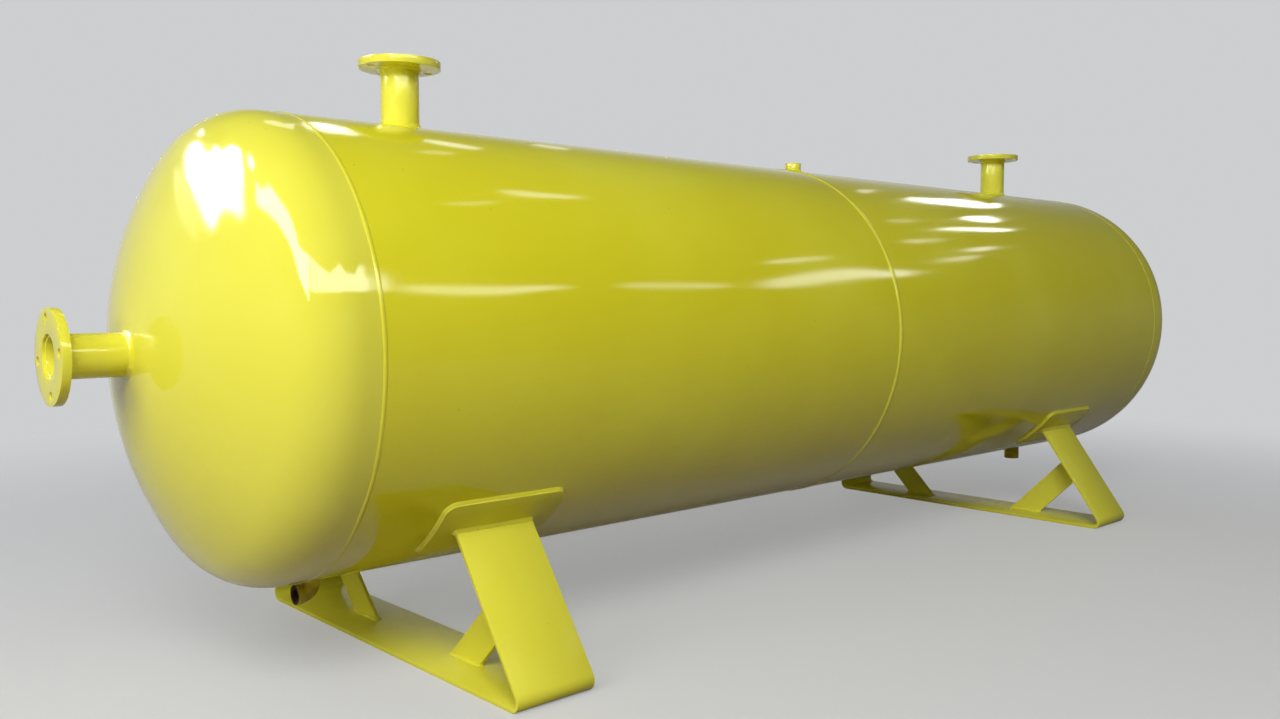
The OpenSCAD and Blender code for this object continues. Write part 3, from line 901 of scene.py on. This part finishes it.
def round_path(along, half_u, half_v, corner):
    """Point and outward direction on a rounded rectangle, at a distance along its edge."""
    quarter = math.pi * corner / 2
    sides = (2 * (half_v - corner), 2 * (half_u - corner))
    along %= 2 * sum(sides) + 4 * quarter
    for side in range(4):
        straight = sides[side % 2]
        turn = side * math.pi / 2
        out = Vector((math.cos(turn), math.sin(turn)))
        way = Vector((-out.y, out.x))
        reach = (half_v if side % 2 else half_u) - corner
        if along < straight:
            return out * (reach + corner) + way * (along - straight / 2), out
        along -= straight
        if along < quarter or side == 3:
            bend = turn + min(along, quarter) / corner
            out_there = Vector((math.cos(bend), math.sin(bend)))
            return out * reach + way * straight / 2 + out_there * corner, out_there
        along -= quarter


def ring_bead(name, half_u, half_v, corner, leg, surface, *nodes, bulge=BULGE):
    """Fillet weld round a piece that stands on a surface; surface(u, v, height) is a point there."""

    def place(along, across, height):
        spot, out = round_path(along, half_u, half_v, corner)
        spot = spot + out * across
        return surface(spot.x, spot.y, height)

    length = 4 * (half_u + half_v - 2 * corner) + 2 * math.pi * corner
    return lay_bead(name, fillet_section(leg, bulge), length, place, True, *nodes)


def round_bead(name, radius, leg, surface, *nodes, bulge=BULGE):
    """Fillet weld round a pipe that stands on a surface."""
    return ring_bead(name, radius, radius, radius, leg, surface, *nodes, bulge=bulge)


def shell_line(centre_x, side, u, v, height):
    """Shell's surface round a point of its top line, or of its lowest line where side is -1."""
    rise = math.sqrt(SHELL_RADIUS**2 - v * v) + height
    return Vector((centre_x + u, v, AXIS_Z + side * rise))


def crown_end(u, v, height):
    drop = math.sqrt(CROWN_RADIUS**2 - u * u - v * v)
    return Vector((SEAM_LEFT - CROWN_CENTRE - drop - height, u, AXIS_Z + v))


def join_pieces(name, pieces):
    """Joins finished pieces into the first one, under a new name."""
    deselect_all()
    for piece in pieces:
        piece.select_set(True)
    bpy.context.view_layer.objects.active = pieces[0]
    bpy.ops.object.join()
    pieces[0].name = name
    return pieces[0]


girth_bead("left", SEAM_LEFT, HEAD_SEAM_HALF_WIDTH, HEAD_SEAM_CROWN)
girth_bead("right", SEAM_RIGHT, HEAD_SEAM_HALF_WIDTH, HEAD_SEAM_CROWN)
girth_bead("middle", SEAM_MIDDLE, SEAM_HALF_WIDTH, SEAM_CROWN)
long_bead("left", SEAM_LEFT, SEAM_MIDDLE)
long_bead("right", SEAM_MIDDLE, SEAM_RIGHT)


def turned_part(name, outline, sides):
    """Solid of revolution about Z from a closed outline of (radius, height) points."""
    part = draw_line(name, [(radius, 0, height) for radius, height in outline], closed=True)
    spin_round(part, (0, 0, 0), (0, 0, 1), sides)
    return part


def rounded_outline(points, edge):
    """Cuts the corners of an outline, as a turned part's edges are broken."""
    result = []
    for index, point in enumerate(points):
        here = Vector(point)
        before = Vector(points[index - 1]) - here
        after = Vector(points[(index + 1) % len(points)]) - here
        cut = min(edge, before.length / 3, after.length / 3)
        inner = here + (before.normalized() + after.normalized()) * cut * 0.30
        result += [here + before.normalized() * cut, inner, here + after.normalized() * cut]
    return [tuple(point) for point in result]


def make_flange(name):
    """Slip-on flange with its face at Z = 0: a turned plate, drilled, with soft painted edges."""
    outline = [
        (NECK_HOLE, 0),
        (FLANGE_RADIUS, 0),
        (FLANGE_RADIUS, -FLANGE_PLATE),
        (NECK_HOLE, -FLANGE_PLATE),
    ]
    flange = turned_part(name, outline, FLANGE_SIDES)
    for bolt in range(BOLT_COUNT):
        turn = 2 * math.pi * bolt / BOLT_COUNT
        x = BOLT_CIRCLE_RADIUS * math.cos(turn)
        y = BOLT_CIRCLE_RADIUS * math.sin(turn)
        drill(flange, BOLT_HOLE_RADIUS, (x, y, -0.03), (x, y, DRILL_OUT), BOLT_HOLE_SIDES)
    soften_edges(flange, FLANGE_EDGE, 3)
    smooth(flange, 30)
    return flange


def make_neck(name, length):
    """Pipe neck from its end behind the flange face, at Z = 0, downwards."""
    bore = NECK_RADIUS - NECK_WALL
    outline = rounded_outline(
        [(bore, 0), (NECK_RADIUS, 0), (NECK_RADIUS, -length), (bore, -length)], 0.001
    )
    neck = turned_part(name, outline, FLANGE_SIDES)
    smooth(neck, 50)
    return neck


def dress_nozzle(end, face, axis, turn=0.0):
    """Flange and neck of one nozzle: its face's centre, its outward axis, its bolts' turn."""
    flange = make_flange(f"flange_plate_{end}")
    flange.rotation_euler.z = turn
    settle(flange)
    stand_up(flange, face, axis)
    finish_piece(flange, fitting_paint, "fitting_enamel", f"flange_{end}")
    neck = make_neck(f"pipe_neck_{end}", max(node_size(f"neck_{end}")))
    stand_up(neck, Vector(face) - Vector(axis) * NECK_SETBACK, axis)
    finish_piece(neck, fitting_paint, "fitting_enamel", f"neck_{end}")


NECK_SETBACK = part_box("flange_top_left")[1].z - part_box("neck_top_left")[1].z
FACE_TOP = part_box("flange_top_left")[1].z
FACE_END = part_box("flange_end")[0].x
UP = (0, 0, 1)
LEFTWARDS = (-1, 0, 0)

dress_nozzle("top_left", (TOP_LEFT, 0, FACE_TOP), UP)
dress_nozzle("top_right", (TOP_RIGHT, 0, FACE_TOP), UP)
dress_nozzle("end", (FACE_END, 0, AXIS_Z), LEFTWARDS, END_FLANGE_TURN)


def back_of_top_flange(centre_x, u, v, height):
    return Vector((centre_x + u, v, FACE_TOP - FLANGE_PLATE - height))


def back_of_end_flange(u, v, height):
    return Vector((FACE_END + FLANGE_PLATE + height, u, AXIS_Z + v))


def neck_beads(end, leg, root_surface, back_surface):
    """Fillet weld at a neck's root and the one behind its flange, as one piece."""
    root = round_bead(f"root_bead_{end}", NECK_RADIUS, leg, root_surface, bulge=ROOT_BULGE)
    back = round_bead(
        f"back_bead_{end}", NECK_RADIUS, FLANGE_LEG, back_surface, bulge=BACK_BULGE
    )
    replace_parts(join_pieces(f"neck_beads_{end}", [root, back]), f"weld_neck_{end}")


for end, centre_x in (("top_left", TOP_LEFT), ("top_right", TOP_RIGHT)):
    back = partial(back_of_top_flange, centre_x)
    neck_beads(end, NECK_LEG, partial(shell_line, centre_x, 1), back)
neck_beads("end", END_NECK_LEG, crown_end, back_of_end_flange)


def make_thread(root_radius, length):
    """Ridge of an internal pipe thread that climbs along Z from 0 within that length."""
    turns = round(length / THREAD_PITCH) - 1
    ridge = draw_line(
        "thread",
        [
            (root_radius + THREAD_SEAT, 0, 0),
            (root_radius - THREAD_DEPTH, 0, THREAD_PITCH / 2),
            (root_radius + THREAD_SEAT, 0, THREAD_PITCH * 0.98),
        ],
        closed=True,
    )
    modify(
        ridge,
        "SCREW",
        axis="Z",
        screw_offset=THREAD_PITCH,
        iterations=turns,
        steps=THREAD_SIDES,
        render_steps=THREAD_SIDES,
        use_merge_vertices=False,
    )
    close_surface(ridge)
    smooth(ridge, 30)
    return ridge


def make_half_coupling(end, centre_x, side, radius, bore, node):
    """Half coupling with a thread in its bore. side is 1 on top of the tank and -1 below it."""
    low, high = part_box(node)
    length = high.z - low.z
    outline = rounded_outline(
        [(bore, 0), (radius, 0), (radius, length), (bore + 0.002, length), (bore, length - 0.002)],
        0.0008,
    )
    body = turned_part("coupling_body", outline, FITTING_SIDES)
    smooth(body, 40)
    thread = make_thread(bore, length - 0.006)
    thread.location.z = 0.003
    settle(thread)
    coupling = join_pieces(f"half_coupling_{end}", [body, thread])
    foot = low.z if side > 0 else high.z
    stand_up(coupling, (centre_x, 0, foot), (0, 0, side))
    finish_piece(coupling, fitting_paint if side > 0 else thin_paint, "fitting_enamel", node)


make_half_coupling("top", COUPLING_X, 1, COUPLING_RADIUS, COUPLING_BORE, "coupling_top")
make_half_coupling("bottom", STUB_X, -1, STUB_RADIUS, STUB_BORE, "stub_bottom_right")


for name, centre_x, side, radius, leg, node in (
    ("coupling_bead", COUPLING_X, 1, COUPLING_RADIUS, PIPE_LEG, "weld_coupling_top"),
    ("stub_bead", STUB_X, -1, STUB_RADIUS, PIPE_LEG, "weld_stub_bottom_right"),
    ("drain_bead", DRAIN_X, -1, DRAIN_RADIUS, DRAIN_LEG, "weld_drain"),
):
    round_bead(name, radius, leg, partial(shell_line, centre_x, side), node)


def bent_run(name, radius, mouth, bend, mouth_radius, band=0.0):
    """Round run from the elbow's open mouth, round its bend and up to its upper mouth.

    It has the mouths' radius for the length of a band at either end, if there is one.
    """
    run = add_shape(
        bpy.ops.mesh.primitive_circle_add,
        name,
        vertices=ELBOW_SIDES,
        radius=mouth_radius,
        location=(-mouth, 0, 0),
        rotation=(0, math.pi / 2, 0),
        fill_type="NGON",
    )
    settle(run)
    edit(run)
    narrow = radius / mouth_radius
    slope = BAND_SLOPE if band else 0
    straight = mouth - bend - band - slope
    if band:
        extrude((band, 0, 0))
        extrude((slope, 0, 0))
        bpy.ops.transform.resize(value=(1, narrow, narrow), center_override=(0, 0, 0))
    extrude((straight, 0, 0))
    bpy.ops.mesh.spin(
        steps=ELBOW_STEPS, angle=math.pi / 2, center=(-bend, 0, bend), axis=(0, 1, 0)
    )
    extrude((0, 0, straight))
    if band:
        extrude((0, 0, slope))
        bpy.ops.transform.resize(value=(1 / narrow, 1 / narrow, 1), center_override=(0, 0, 0))
        extrude((0, 0, band))
    leave_edit_mode()
    close_surface(run)
    return run


def make_elbow():
    """Threaded drain elbow: a bent run with a band at each mouth, bored and threaded."""
    low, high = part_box("drain_elbow")
    band_radius = node_size("drain_elbow").y / 2
    centre = Vector((DRAIN_X, 0, low.z + band_radius))
    reach = high.z - centre.z
    bend = reach - ELBOW_BAND - 0.002
    body = bent_run("elbow_body", ELBOW_BODY, reach, bend, band_radius, ELBOW_BAND)
    past = reach + DRILL_OUT
    cut_away(body, bent_run("bore", ELBOW_BORE, past, bend, ELBOW_BORE))
    drill(body, ELBOW_MOUTH, (-past, 0, 0), (-reach + ELBOW_BAND, 0, 0), ELBOW_SIDES)
    pipe_hole = DRAIN_RADIUS + SEAT_GAP
    drill(body, pipe_hole, (0, 0, reach - ELBOW_BAND), (0, 0, past), ELBOW_SIDES)
    soften_edges(body, ELBOW_EDGE, 2, 35)
    smooth(body, 35)
    thread = make_thread(ELBOW_MOUTH, ELBOW_BAND - 0.003)
    stand_up(thread, (-reach + 0.0015, 0, 0), (1, 0, 0))
    elbow = join_pieces("threaded_elbow", [body, thread])
    elbow.location = centre
    settle(elbow)
    finish_piece(elbow, thin_paint, "fitting_enamel", "drain_elbow")
    # Faces inside the elbow's open mouth get rust that is darkened as painted shade
    elbow.data.materials.append(shaded_bore_rust)
    for face in elbow.data.polygons:
        inside = face.center - face.normal * 0.001 - centre
        if inside.x < -bend and inside.yz.length < (ELBOW_MOUTH + ELBOW_BODY) / 2:
            face.material_index = 1


make_elbow()


def make_pad(end, side):
    """Pad plate: a rounded sheet given its thickness, parted in strips and wrapped round the shell."""
    shore = SHORES[side]
    node = f"pad_{end}_{shore}"
    centre_x = node_centre(node).x
    width = node_size(node).x
    out = Vector((0, side * math.sin(LEG_TURN), -math.cos(LEG_TURN)))
    up = Vector((0, side * math.cos(LEG_TURN), math.sin(LEG_TURN)))

    def wrapped(u, v, height):
        spot = Vector((centre_x + u, 0, AXIS_Z)) + up * v
        return spot + out * math.sqrt((SHELL_RADIUS + SEAT_GAP + height) ** 2 - v * v)

    pad = add_shape(bpy.ops.mesh.primitive_plane_add, f"pad_plate_{end}_{shore}", size=1)
    pad.scale = (width, PAD_HEIGHT, 1)
    settle(pad)
    edit(pad, "VERT")
    bpy.ops.mesh.bevel(offset=PAD_CORNER, segments=8, affect="VERTICES")
    edit(pad)
    extrude((0, 0, PAD_PLATE))
    for strip in range(1, PAD_STRIPS):
        bpy.ops.mesh.select_all(action="SELECT")
        v = PAD_HEIGHT * (strip / PAD_STRIPS - 0.5)
        bpy.ops.mesh.bisect(plane_co=(0, v, 0), plane_no=(0, 1, 0))
    leave_edit_mode()
    for vertex in pad.data.vertices:
        u, v, height = vertex.co
        vertex.co = wrapped(u, v, height)
    close_surface(pad)
    soften_edges(pad, PAD_EDGE, 3, 50)
    smooth(pad, 35)
    finish_piece(pad, saddle_paint, "saddle_enamel", node)
    ring_bead(
        f"pad_bead_{end}_{shore}", width / 2, PAD_HEIGHT / 2, PAD_CORNER, PAD_LEG, wrapped
    )


def leg_face_corner(radius):
    """Where a face of the far leg meets its pad, as (y, z) from the axis. radius is the bend's."""
    start = leg_start(radius) - Vector((0, AXIS_Z))
    along = start.dot(LEG_UP.yz)
    reach = -along - math.sqrt(along**2 - start.length_squared + PAD_RADIUS**2)
    return start + LEG_UP.yz * reach


def make_saddle(end):
    """Saddle: a strip of plate drawn out from the middle, bent up at its end and mirrored."""
    node = f"saddle_{end}"
    centre_x = node_centre(node).x
    width = node_size(node).x
    saddle = add_shape(
        bpy.ops.mesh.primitive_plane_add,
        f"folded_saddle_{end}",
        size=1,
        rotation=(math.pi / 2, 0, 0),
    )
    saddle.scale = (width, SADDLE_PLATE, 1)
    saddle.location = (centre_x, 0, SADDLE_PLATE / 2)
    settle(saddle)
    edit(saddle)
    extrude((0, BEND_Y, 0))
    bpy.ops.mesh.spin(
        steps=FOLD_STEPS,
        angle=math.pi - LEG_ANGLE,
        center=(0, BEND_Y, BEND_OUTER),
        axis=(-1, 0, 0),
    )
    extrude(LEG_UP * LEG_DRAWN)
    leave_edit_mode()
    for face in saddle.data.polygons:
        face.select = abs(face.center.y) < 0.001 and abs(face.normal.y) > 0.9
    pick_only(saddle)
    bpy.ops.object.mode_set(mode="EDIT")
    bpy.ops.mesh.delete(type="FACE")
    leave_edit_mode()
    modify(saddle, "MIRROR", use_axis=(False, True, False))
    close_surface(saddle)
    stop = (centre_x + width, 0, AXIS_Z)
    drill(saddle, PAD_RADIUS + SEAT_GAP, (centre_x - width, 0, AXIS_Z), stop, ROUND_SIDES)
    soften_edges(saddle, SADDLE_EDGE)
    smooth(saddle, 30)
    finish_piece(saddle, saddle_paint, "saddle_enamel", node)


def leg_line(centre_x, side, middle, u, v, height):
    """Pad's surface round the line on which a leg stands; height runs down the leg."""
    turn = middle + v / PAD_RADIUS
    y = PAD_RADIUS * math.sin(turn) - LEG_UP.y * height
    z = AXIS_Z - PAD_RADIUS * math.cos(turn) - LEG_UP.z * height
    return Vector((centre_x + u, side * y, z))


def make_leg_beads(end):
    """Fillet welds between the legs of one saddle and their pads, as one piece."""
    centre_x = node_centre(f"saddle_{end}").x
    half_width = node_size(f"saddle_{end}").x / 2
    corners = [leg_face_corner(BEND_OUTER), leg_face_corner(BEND_RADIUS)]
    outer, inner = [math.atan2(corner.x, -corner.y) for corner in corners]
    half = abs(outer - inner) * PAD_RADIUS / 2
    beads = []
    for side, shore in SHORES.items():
        surface = partial(leg_line, centre_x, side, (outer + inner) / 2)
        name = f"leg_bead_{end}_{shore}"
        beads.append(ring_bead(name, half_width, half, BAR_CORNER, LEG_LEG, surface))
    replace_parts(join_pieces(f"leg_beads_{end}", beads), f"weld_legs_{end}")


def make_brace(end, side):
    """Knee brace: a flat bar, cut to the foot and to the leg's inner face."""
    node = f"brace_{end}_{SHORES[side]}"
    brace = add_shape(bpy.ops.mesh.primitive_cube_add, f"knee_{node}", size=1)
    brace.scale = (node_size(node).x, BRACE_DRAWN, BRACE_WIDTH)
    brace.rotation_euler = (BRACE_ANGLE, 0, 0)
    brace.location = (node_centre(node).x, BRACE_FOOT, SADDLE_PLATE)
    settle(brace)
    edit(brace)
    bpy.ops.mesh.bisect(
        plane_co=(0, 0, SADDLE_PLATE), plane_no=(0, 0, -1), use_fill=True, clear_outer=True
    )
    bpy.ops.mesh.select_all(action="SELECT")
    bpy.ops.mesh.bisect(
        plane_co=(0, LEG_FACE.x, LEG_FACE.y),
        plane_no=(0, math.sin(LEG_ANGLE), math.cos(LEG_ANGLE)),
        use_fill=True,
        clear_outer=True,
    )
    leave_edit_mode()
    for vertex in brace.data.vertices:
        vertex.co.y *= side
    close_surface(brace)
    soften_edges(brace, BRACE_EDGE, 2, 30)
    smooth(brace, 30)
    finish_piece(brace, saddle_paint, "saddle_enamel", node)


def brace_beads(end, side):
    """Fillet welds round the foot and the head of a brace."""
    node = f"brace_{end}_{SHORES[side]}"
    centre_x = node_centre(node).x
    lean = BRACE_ANGLE + LEG_ANGLE

    def at_foot(u, v, height):
        y = BRACE_FOOT + u + height / math.tan(BRACE_ANGLE)
        return Vector((centre_x + v, side * y, SADDLE_PLATE + height))

    def at_head(u, v, height):
        spot = BRACE_HEAD + LEG_UP.yz * u
        reach = height / math.sin(lean)
        y = spot.x - reach * math.cos(BRACE_ANGLE)
        z = spot.y - reach * math.sin(BRACE_ANGLE)
        return Vector((centre_x + v, side * y, z))

    beads = []
    for label, angle, surface in (("foot", BRACE_ANGLE, at_foot), ("head", lean, at_head)):
        name = f"{node}_{label}"
        half_width = BRACE_WIDTH / 2 / math.sin(angle)
        half_thick = node_size(node).x / 2
        beads.append(ring_bead(name, half_width, half_thick, BAR_CORNER, BRACE_LEG, surface))
    return beads


for end in ("left", "right"):
    for side in SHORES:
        make_pad(end, side)
    make_saddle(end)
    make_leg_beads(end)
    beads = []
    for side in SHORES:
        make_brace(end, side)
        beads += brace_beads(end, side)
    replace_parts(join_pieces(f"brace_beads_{end}", beads), f"weld_braces_{end}")


# The drain pipe is shown as it is
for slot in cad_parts["drain_pipe"].material_slots:
    slot.material = fitting_paint


def add_softbox(name, place, target, width, height, radiance):
    """A rectangular lamp that faces the target, seen neither by the camera nor in the paint."""
    lamp = bpy.data.lights.new(name, "AREA")
    lamp.shape = "RECTANGLE"
    lamp.size = width
    lamp.size_y = height
    lamp.energy = radiance * math.pi * width * height
    box = bpy.data.objects.new(name, lamp)
    bpy.context.scene.collection.objects.link(box)
    box.location = place
    aim = Vector(target) - Vector(place)
    box.rotation_euler = aim.to_track_quat("-Z", "Y").to_euler()
    box.visible_camera = False
    box.visible_glossy = False


def outline_distance(place):
    """How far a point lies outside the tank's smooth outline, before dents and waves."""
    radius = math.hypot(place.y, place.z - AXIS_Z)
    beyond = max(SEAM_LEFT - place.x, place.x - SEAM_RIGHT)
    past = beyond - STRAIGHT_FLANGE
    if past <= 0:
        return radius - SHELL_RADIUS
    out = radius - KNUCKLE_CENTRE
    if math.atan2(past, out) < math.atan2(STRAIGHT_FLANGE - CROWN_CENTRE, KNUCKLE_CENTRE):
        return math.hypot(out, past) - KNUCKLE_RADIUS
    return math.hypot(radius, beyond - CROWN_CENTRE) - CROWN_RADIUS


def mirrored(column, row):
    """Place of what the smooth paint would mirror to the camera at that point of the image."""
    tilt = Matrix.Rotation(math.pi / 2 + CAMERA_PITCH, 3, "X")
    facing = Matrix.Rotation(-CAMERA_YAW, 3, "Z") @ tilt
    ray = Vector((column - IMAGE_WIDTH / 2, IMAGE_HEIGHT / 2 - row, -FOCAL_PIXELS))
    ray = (facing @ ray).normalized()
    place = Vector(CAMERA_PLACE)
    for _ in range(TRACE_STEPS):
        place += ray * outline_distance(place) * 0.9
    level = outline_distance(place)
    slope = [outline_distance(place + move) - level for move in TRACE_MOVES]
    return place + ray.reflect(Vector(slope).normalized()) * PANEL_REACH


def add_panel(name, slices, radiance, softness=0.0):
    """A glowing panel, seen only in the paint, whose mirror image has the given slices.

    A slice is a column of the image with the rows of the highlight's upper and lower edge.
    softness is the share of the panel over which its glow fades towards the rim.
    """
    panel = add_shape(
        bpy.ops.mesh.primitive_grid_add,
        name,
        x_subdivisions=len(slices) - 1,
        y_subdivisions=SLICE_STEPS,
        size=1,
    )
    for point in panel.data.vertices:
        column, top, bottom = slices[round((point.co.x + 0.5) * (len(slices) - 1))]
        point.co = mirrored(column, top + (bottom - top) * (0.5 - point.co.y))
    material, tree, shader = new_material(name)
    material.cycles.emission_sampling = "NONE"
    tree.nodes.remove(shader)
    glow = shader_node(tree, "ShaderNodeEmission", {"Strength": radiance})
    if softness:
        rim = tree.nodes.new("ShaderNodeTexCoord").outputs["UV"]
        rim = shader_node(tree, "ShaderNodeSeparateXYZ", {0: rim})
        across = math_node(tree, "PINGPONG", rim.outputs["X"], 0.5)
        along = math_node(tree, "PINGPONG", rim.outputs["Y"], 0.5)
        fade = math_node(
            tree,
            "MULTIPLY",
            ramp(tree, across, 0.0, softness / 4),
            ramp(tree, along, 0.0, softness / 2, 0.0, radiance),
        )
        tree.links.new(fade, glow.inputs["Strength"])
    tree.links.new(glow.outputs[0], tree.nodes["Material Output"].inputs["Surface"])
    panel.data.materials.append(material)
    for ray in ("camera", "diffuse", "transmission", "shadow"):
        setattr(panel, f"visible_{ray}", False)


def background_rays(tree, path):
    """1 for the rays that show the background: the camera's, mirrored and transmitted ones."""
    seen = path.outputs["Is Camera Ray"]
    for kind in ("Is Glossy Ray", "Is Transmission Ray"):
        seen = math_node(tree, "MAXIMUM", seen, path.outputs[kind])
    return seen


def dark_side(tree, way, path):
    """Share of the dark side wall in that direction, for all but the camera's own rays."""
    side = vector_node(tree, "DOT_PRODUCT", way, DARK_WALL)
    unseen = math_node(tree, "SUBTRACT", 1.0, path.outputs["Is Camera Ray"])
    return math_node(tree, "MULTIPLY", ramp(tree, side, 0.45, 0.9), unseen)


def make_stage():
    """Pale floor that passes into an equally pale background where the tank's shadow ends."""
    floor = add_shape(
        bpy.ops.mesh.primitive_circle_add,
        "floor",
        vertices=FLOOR_SIDES,
        radius=FLOOR_RADIUS,
        fill_type="NGON",
    )
    material, tree, shader = new_material("pale_floor")
    shader.inputs["Roughness"].default_value = 0.6
    shader.inputs["Specular IOR Level"].default_value = 0.2
    path = tree.nodes.new("ShaderNodeLightPath")
    seen = background_rays(tree, path)
    tree.links.new(mix_colour(tree, seen, FLOOR_BOUNCE, FLOOR_TONE), shader.inputs["Base Color"])
    place = tree.nodes.new("ShaderNodeTexCoord").outputs["Object"]
    reach = vector_node(tree, "LENGTH", place)
    level = math_node(tree, "MULTIPLY", path.outputs["Is Camera Ray"], FLOOR_LEVEL)
    fade = ramp(tree, reach, FLOOR_FADE_START, FLOOR_FADE_STOP, level, 1.0)
    fade = math_node(tree, "MULTIPLY", fade, seen)
    way = vector_node(tree, "NORMALIZE", place)
    tone = mix_colour(tree, dark_side(tree, way, path), PALE, WALL)
    glow = shader_node(tree, "ShaderNodeEmission", {"Color": tone, "Strength": 1.0})
    blend = shader_node(tree, "ShaderNodeMixShader", {0: fade})
    tree.links.new(shader.outputs[0], blend.inputs[1])
    tree.links.new(glow.outputs[0], blend.inputs[2])
    tree.links.new(blend.outputs[0], tree.nodes["Material Output"].inputs["Surface"])
    floor.data.materials.append(material)


def make_world():
    """Pale background towards the horizon, a darker ceiling above the camera's view, dim fill."""
    world = bpy.data.worlds.new("studio")
    bpy.context.scene.world = world
    world.use_nodes = True
    tree = world.node_tree
    tree.nodes.clear()
    path = tree.nodes.new("ShaderNodeLightPath")
    place = tree.nodes.new("ShaderNodeTexCoord").outputs["Generated"]
    rise = shader_node(tree, "ShaderNodeSeparateXYZ", {0: place}).outputs["Z"]
    tone = mix_colour(tree, ramp(tree, rise, 0.24, 0.55), PALE, CEILING)
    wall = mix_colour(tree, ramp(tree, rise, 0.0, 0.3), WALL, CEILING)
    tone = mix_colour(tree, dark_side(tree, place, path), tone, wall)
    tone = mix_colour(tree, background_rays(tree, path), FILL, tone)
    sky = shader_node(tree, "ShaderNodeBackground", {"Color": tone, "Strength": 1.0})
    end = tree.nodes.new("ShaderNodeOutputWorld")
    tree.links.new(sky.outputs[0], end.inputs["Surface"])


def make_camera():
    camera = bpy.data.objects.new("camera", bpy.data.cameras.new("camera"))
    bpy.context.scene.collection.objects.link(camera)
    camera.location = CAMERA_PLACE
    camera.rotation_euler = (math.pi / 2 + CAMERA_PITCH, 0, -CAMERA_YAW)
    camera.data.sensor_width = SENSOR_WIDTH
    camera.data.lens = SENSOR_WIDTH * FOCAL_PIXELS / IMAGE_WIDTH
    bpy.context.scene.camera = camera


make_stage()
make_world()
make_camera()
bpy.context.scene.view_settings.view_transform = "Standard"

# Highlights: their slices in pixels of the image, brightness of the panel behind, softness
HIGHLIGHTS = {
    "head_window": (
        ((187, 152, 172), (194, 142, 189), (200, 143, 204), (205, 153, 218), (212, 153, 230),
         (217, 145, 220), (222, 152, 207), (233, 146, 211), (241, 149, 218), (244, 172, 212)),
        26,
    ),
    "head_window_side": (
        ((174, 168, 182), (180, 172, 214), (188, 188, 232), (196, 214, 240)),
        1.6,
    ),
    "head_fleck_upper": (((198, 133, 137), (203, 128, 135)), 6),
    "head_fleck_right": (((248, 156, 166), (251, 155, 170), (254, 160, 168)), 20),
    "head_streak": (
        ((256, 181, 204), (262, 189, 208), (270, 184, 215), (276, 195, 221), (284, 205, 233),
         (291, 218, 246), (295, 229, 258), (299, 246, 275), (304, 252, 287), (309, 255, 300)),
        19,
    ),
    "knuckle_bar": (
        ((310, 256, 290), (319, 266, 292), (330, 273, 292), (340, 264, 292), (346, 273, 291),
         (355, 274, 292), (360, 264, 292), (365, 275, 292), (372, 280, 292), (376, 272, 291),
         (380, 283, 290)),
        12,
    ),
    "seam_fleck": (((264, 121, 123), (275, 121, 126), (285, 124, 128), (294, 124, 130)), 2),
    "top_near_head": (
        ((306, 121, 126), (316, 122, 131), (326, 123, 134), (338, 126, 134), (350, 129, 136),
         (357, 132, 136)),
        4.8, 0.3,
    ),
    "top_streak": (((418, 138, 141), (440, 140, 146), (460, 143, 149), (486, 148, 151)), 2.2, 0.6),
    "top_streak_lower": (((414, 151, 153), (436, 149, 156), (458, 152, 155)), 1.3, 0.8),
    "top_streak_far": (((528, 143, 145), (550, 145, 149), (572, 148, 151)), 1.2, 0.6),
    "upper_streak": (((494, 189, 192), (520, 189, 198), (548, 192, 199), (592, 196, 200)), 4, 0.8),
    "upper_streak_left": (((438, 203, 205), (470, 200, 207), (504, 199, 203)), 2.4, 0.9),
    "long_streak_left": (
        ((382, 283, 294), (420, 284, 295), (460, 284, 297), (500, 284, 297), (540, 284, 292),
         (584, 284, 289)),
        7, 0.7,
    ),
    "long_streak_right": (
        ((610, 282, 289), (655, 281, 291), (700, 281, 291), (738, 283, 288)),
        4, 0.8,
    ),
    "middle_streak": (
        ((744, 281, 290), (780, 275, 291), (810, 269, 288), (840, 265, 284), (862, 266, 280),
         (900, 269, 278), (928, 269, 274)),
        6, 0.7,
    ),
    "middle_streak_upper": (((762, 261, 265), (795, 257, 264), (828, 255, 259)), 5, 0.7),
    "far_fleck": (((855, 189, 192), (865, 188, 195), (876, 189, 192)), 1.4, 0.7),
    "far_fleck_left": (((884, 219, 222), (902, 218, 224), (918, 219, 223)), 1.6, 0.8),
    "far_bar_upper": (
        ((907, 197, 200), (927, 198, 203), (957, 199, 206), (980, 202, 208), (1000, 204, 208)),
        5,
    ),
    "far_bar_middle": (((960, 217, 219), (973, 215, 222), (987, 215, 223), (1001, 219, 223)), 8, 0.5),
    "far_bar_lower": (
        ((934, 228, 230), (953, 227, 231), (980, 227, 232), (1000, 228, 232), (1016, 229, 231)),
        8, 0.5,
    ),
    "far_streak_a": (((900, 240, 243), (920, 238, 245), (943, 238, 241)), 3, 0.8),
    "far_streak_b": (((960, 249, 253), (980, 246, 253), (1000, 245, 249)), 4.5, 0.8),
    "far_streak_c": (((936, 259, 264), (960, 255, 263), (982, 253, 257)), 3.8, 0.8),
}
for name, (slices, *glow) in HIGHLIGHTS.items():
    add_panel(name, slices, *glow)

# Soft lamps that light the paint evenly and show in it no more than a white ceiling would
SOFT_LAMPS = {
    "left_softbox": ((-5.0, -1.0, 2.0), (-0.6, -0.1, 0.8), 2.6, 2.2, 4.3),
    "front_softbox": ((-4.0, -4.0, 4.2), (-0.6, -0.1, 0.8), 3.0, 2.4, 10.2),
    "rear_softbox": ((1.5, 6.0, 2.2), (0.3, 0.3, 0.7), 2.8, 2.2, 3.2),
}
for name, (place, target, width, height, radiance) in SOFT_LAMPS.items():
    add_softbox(name, place, target, width, height, radiance)
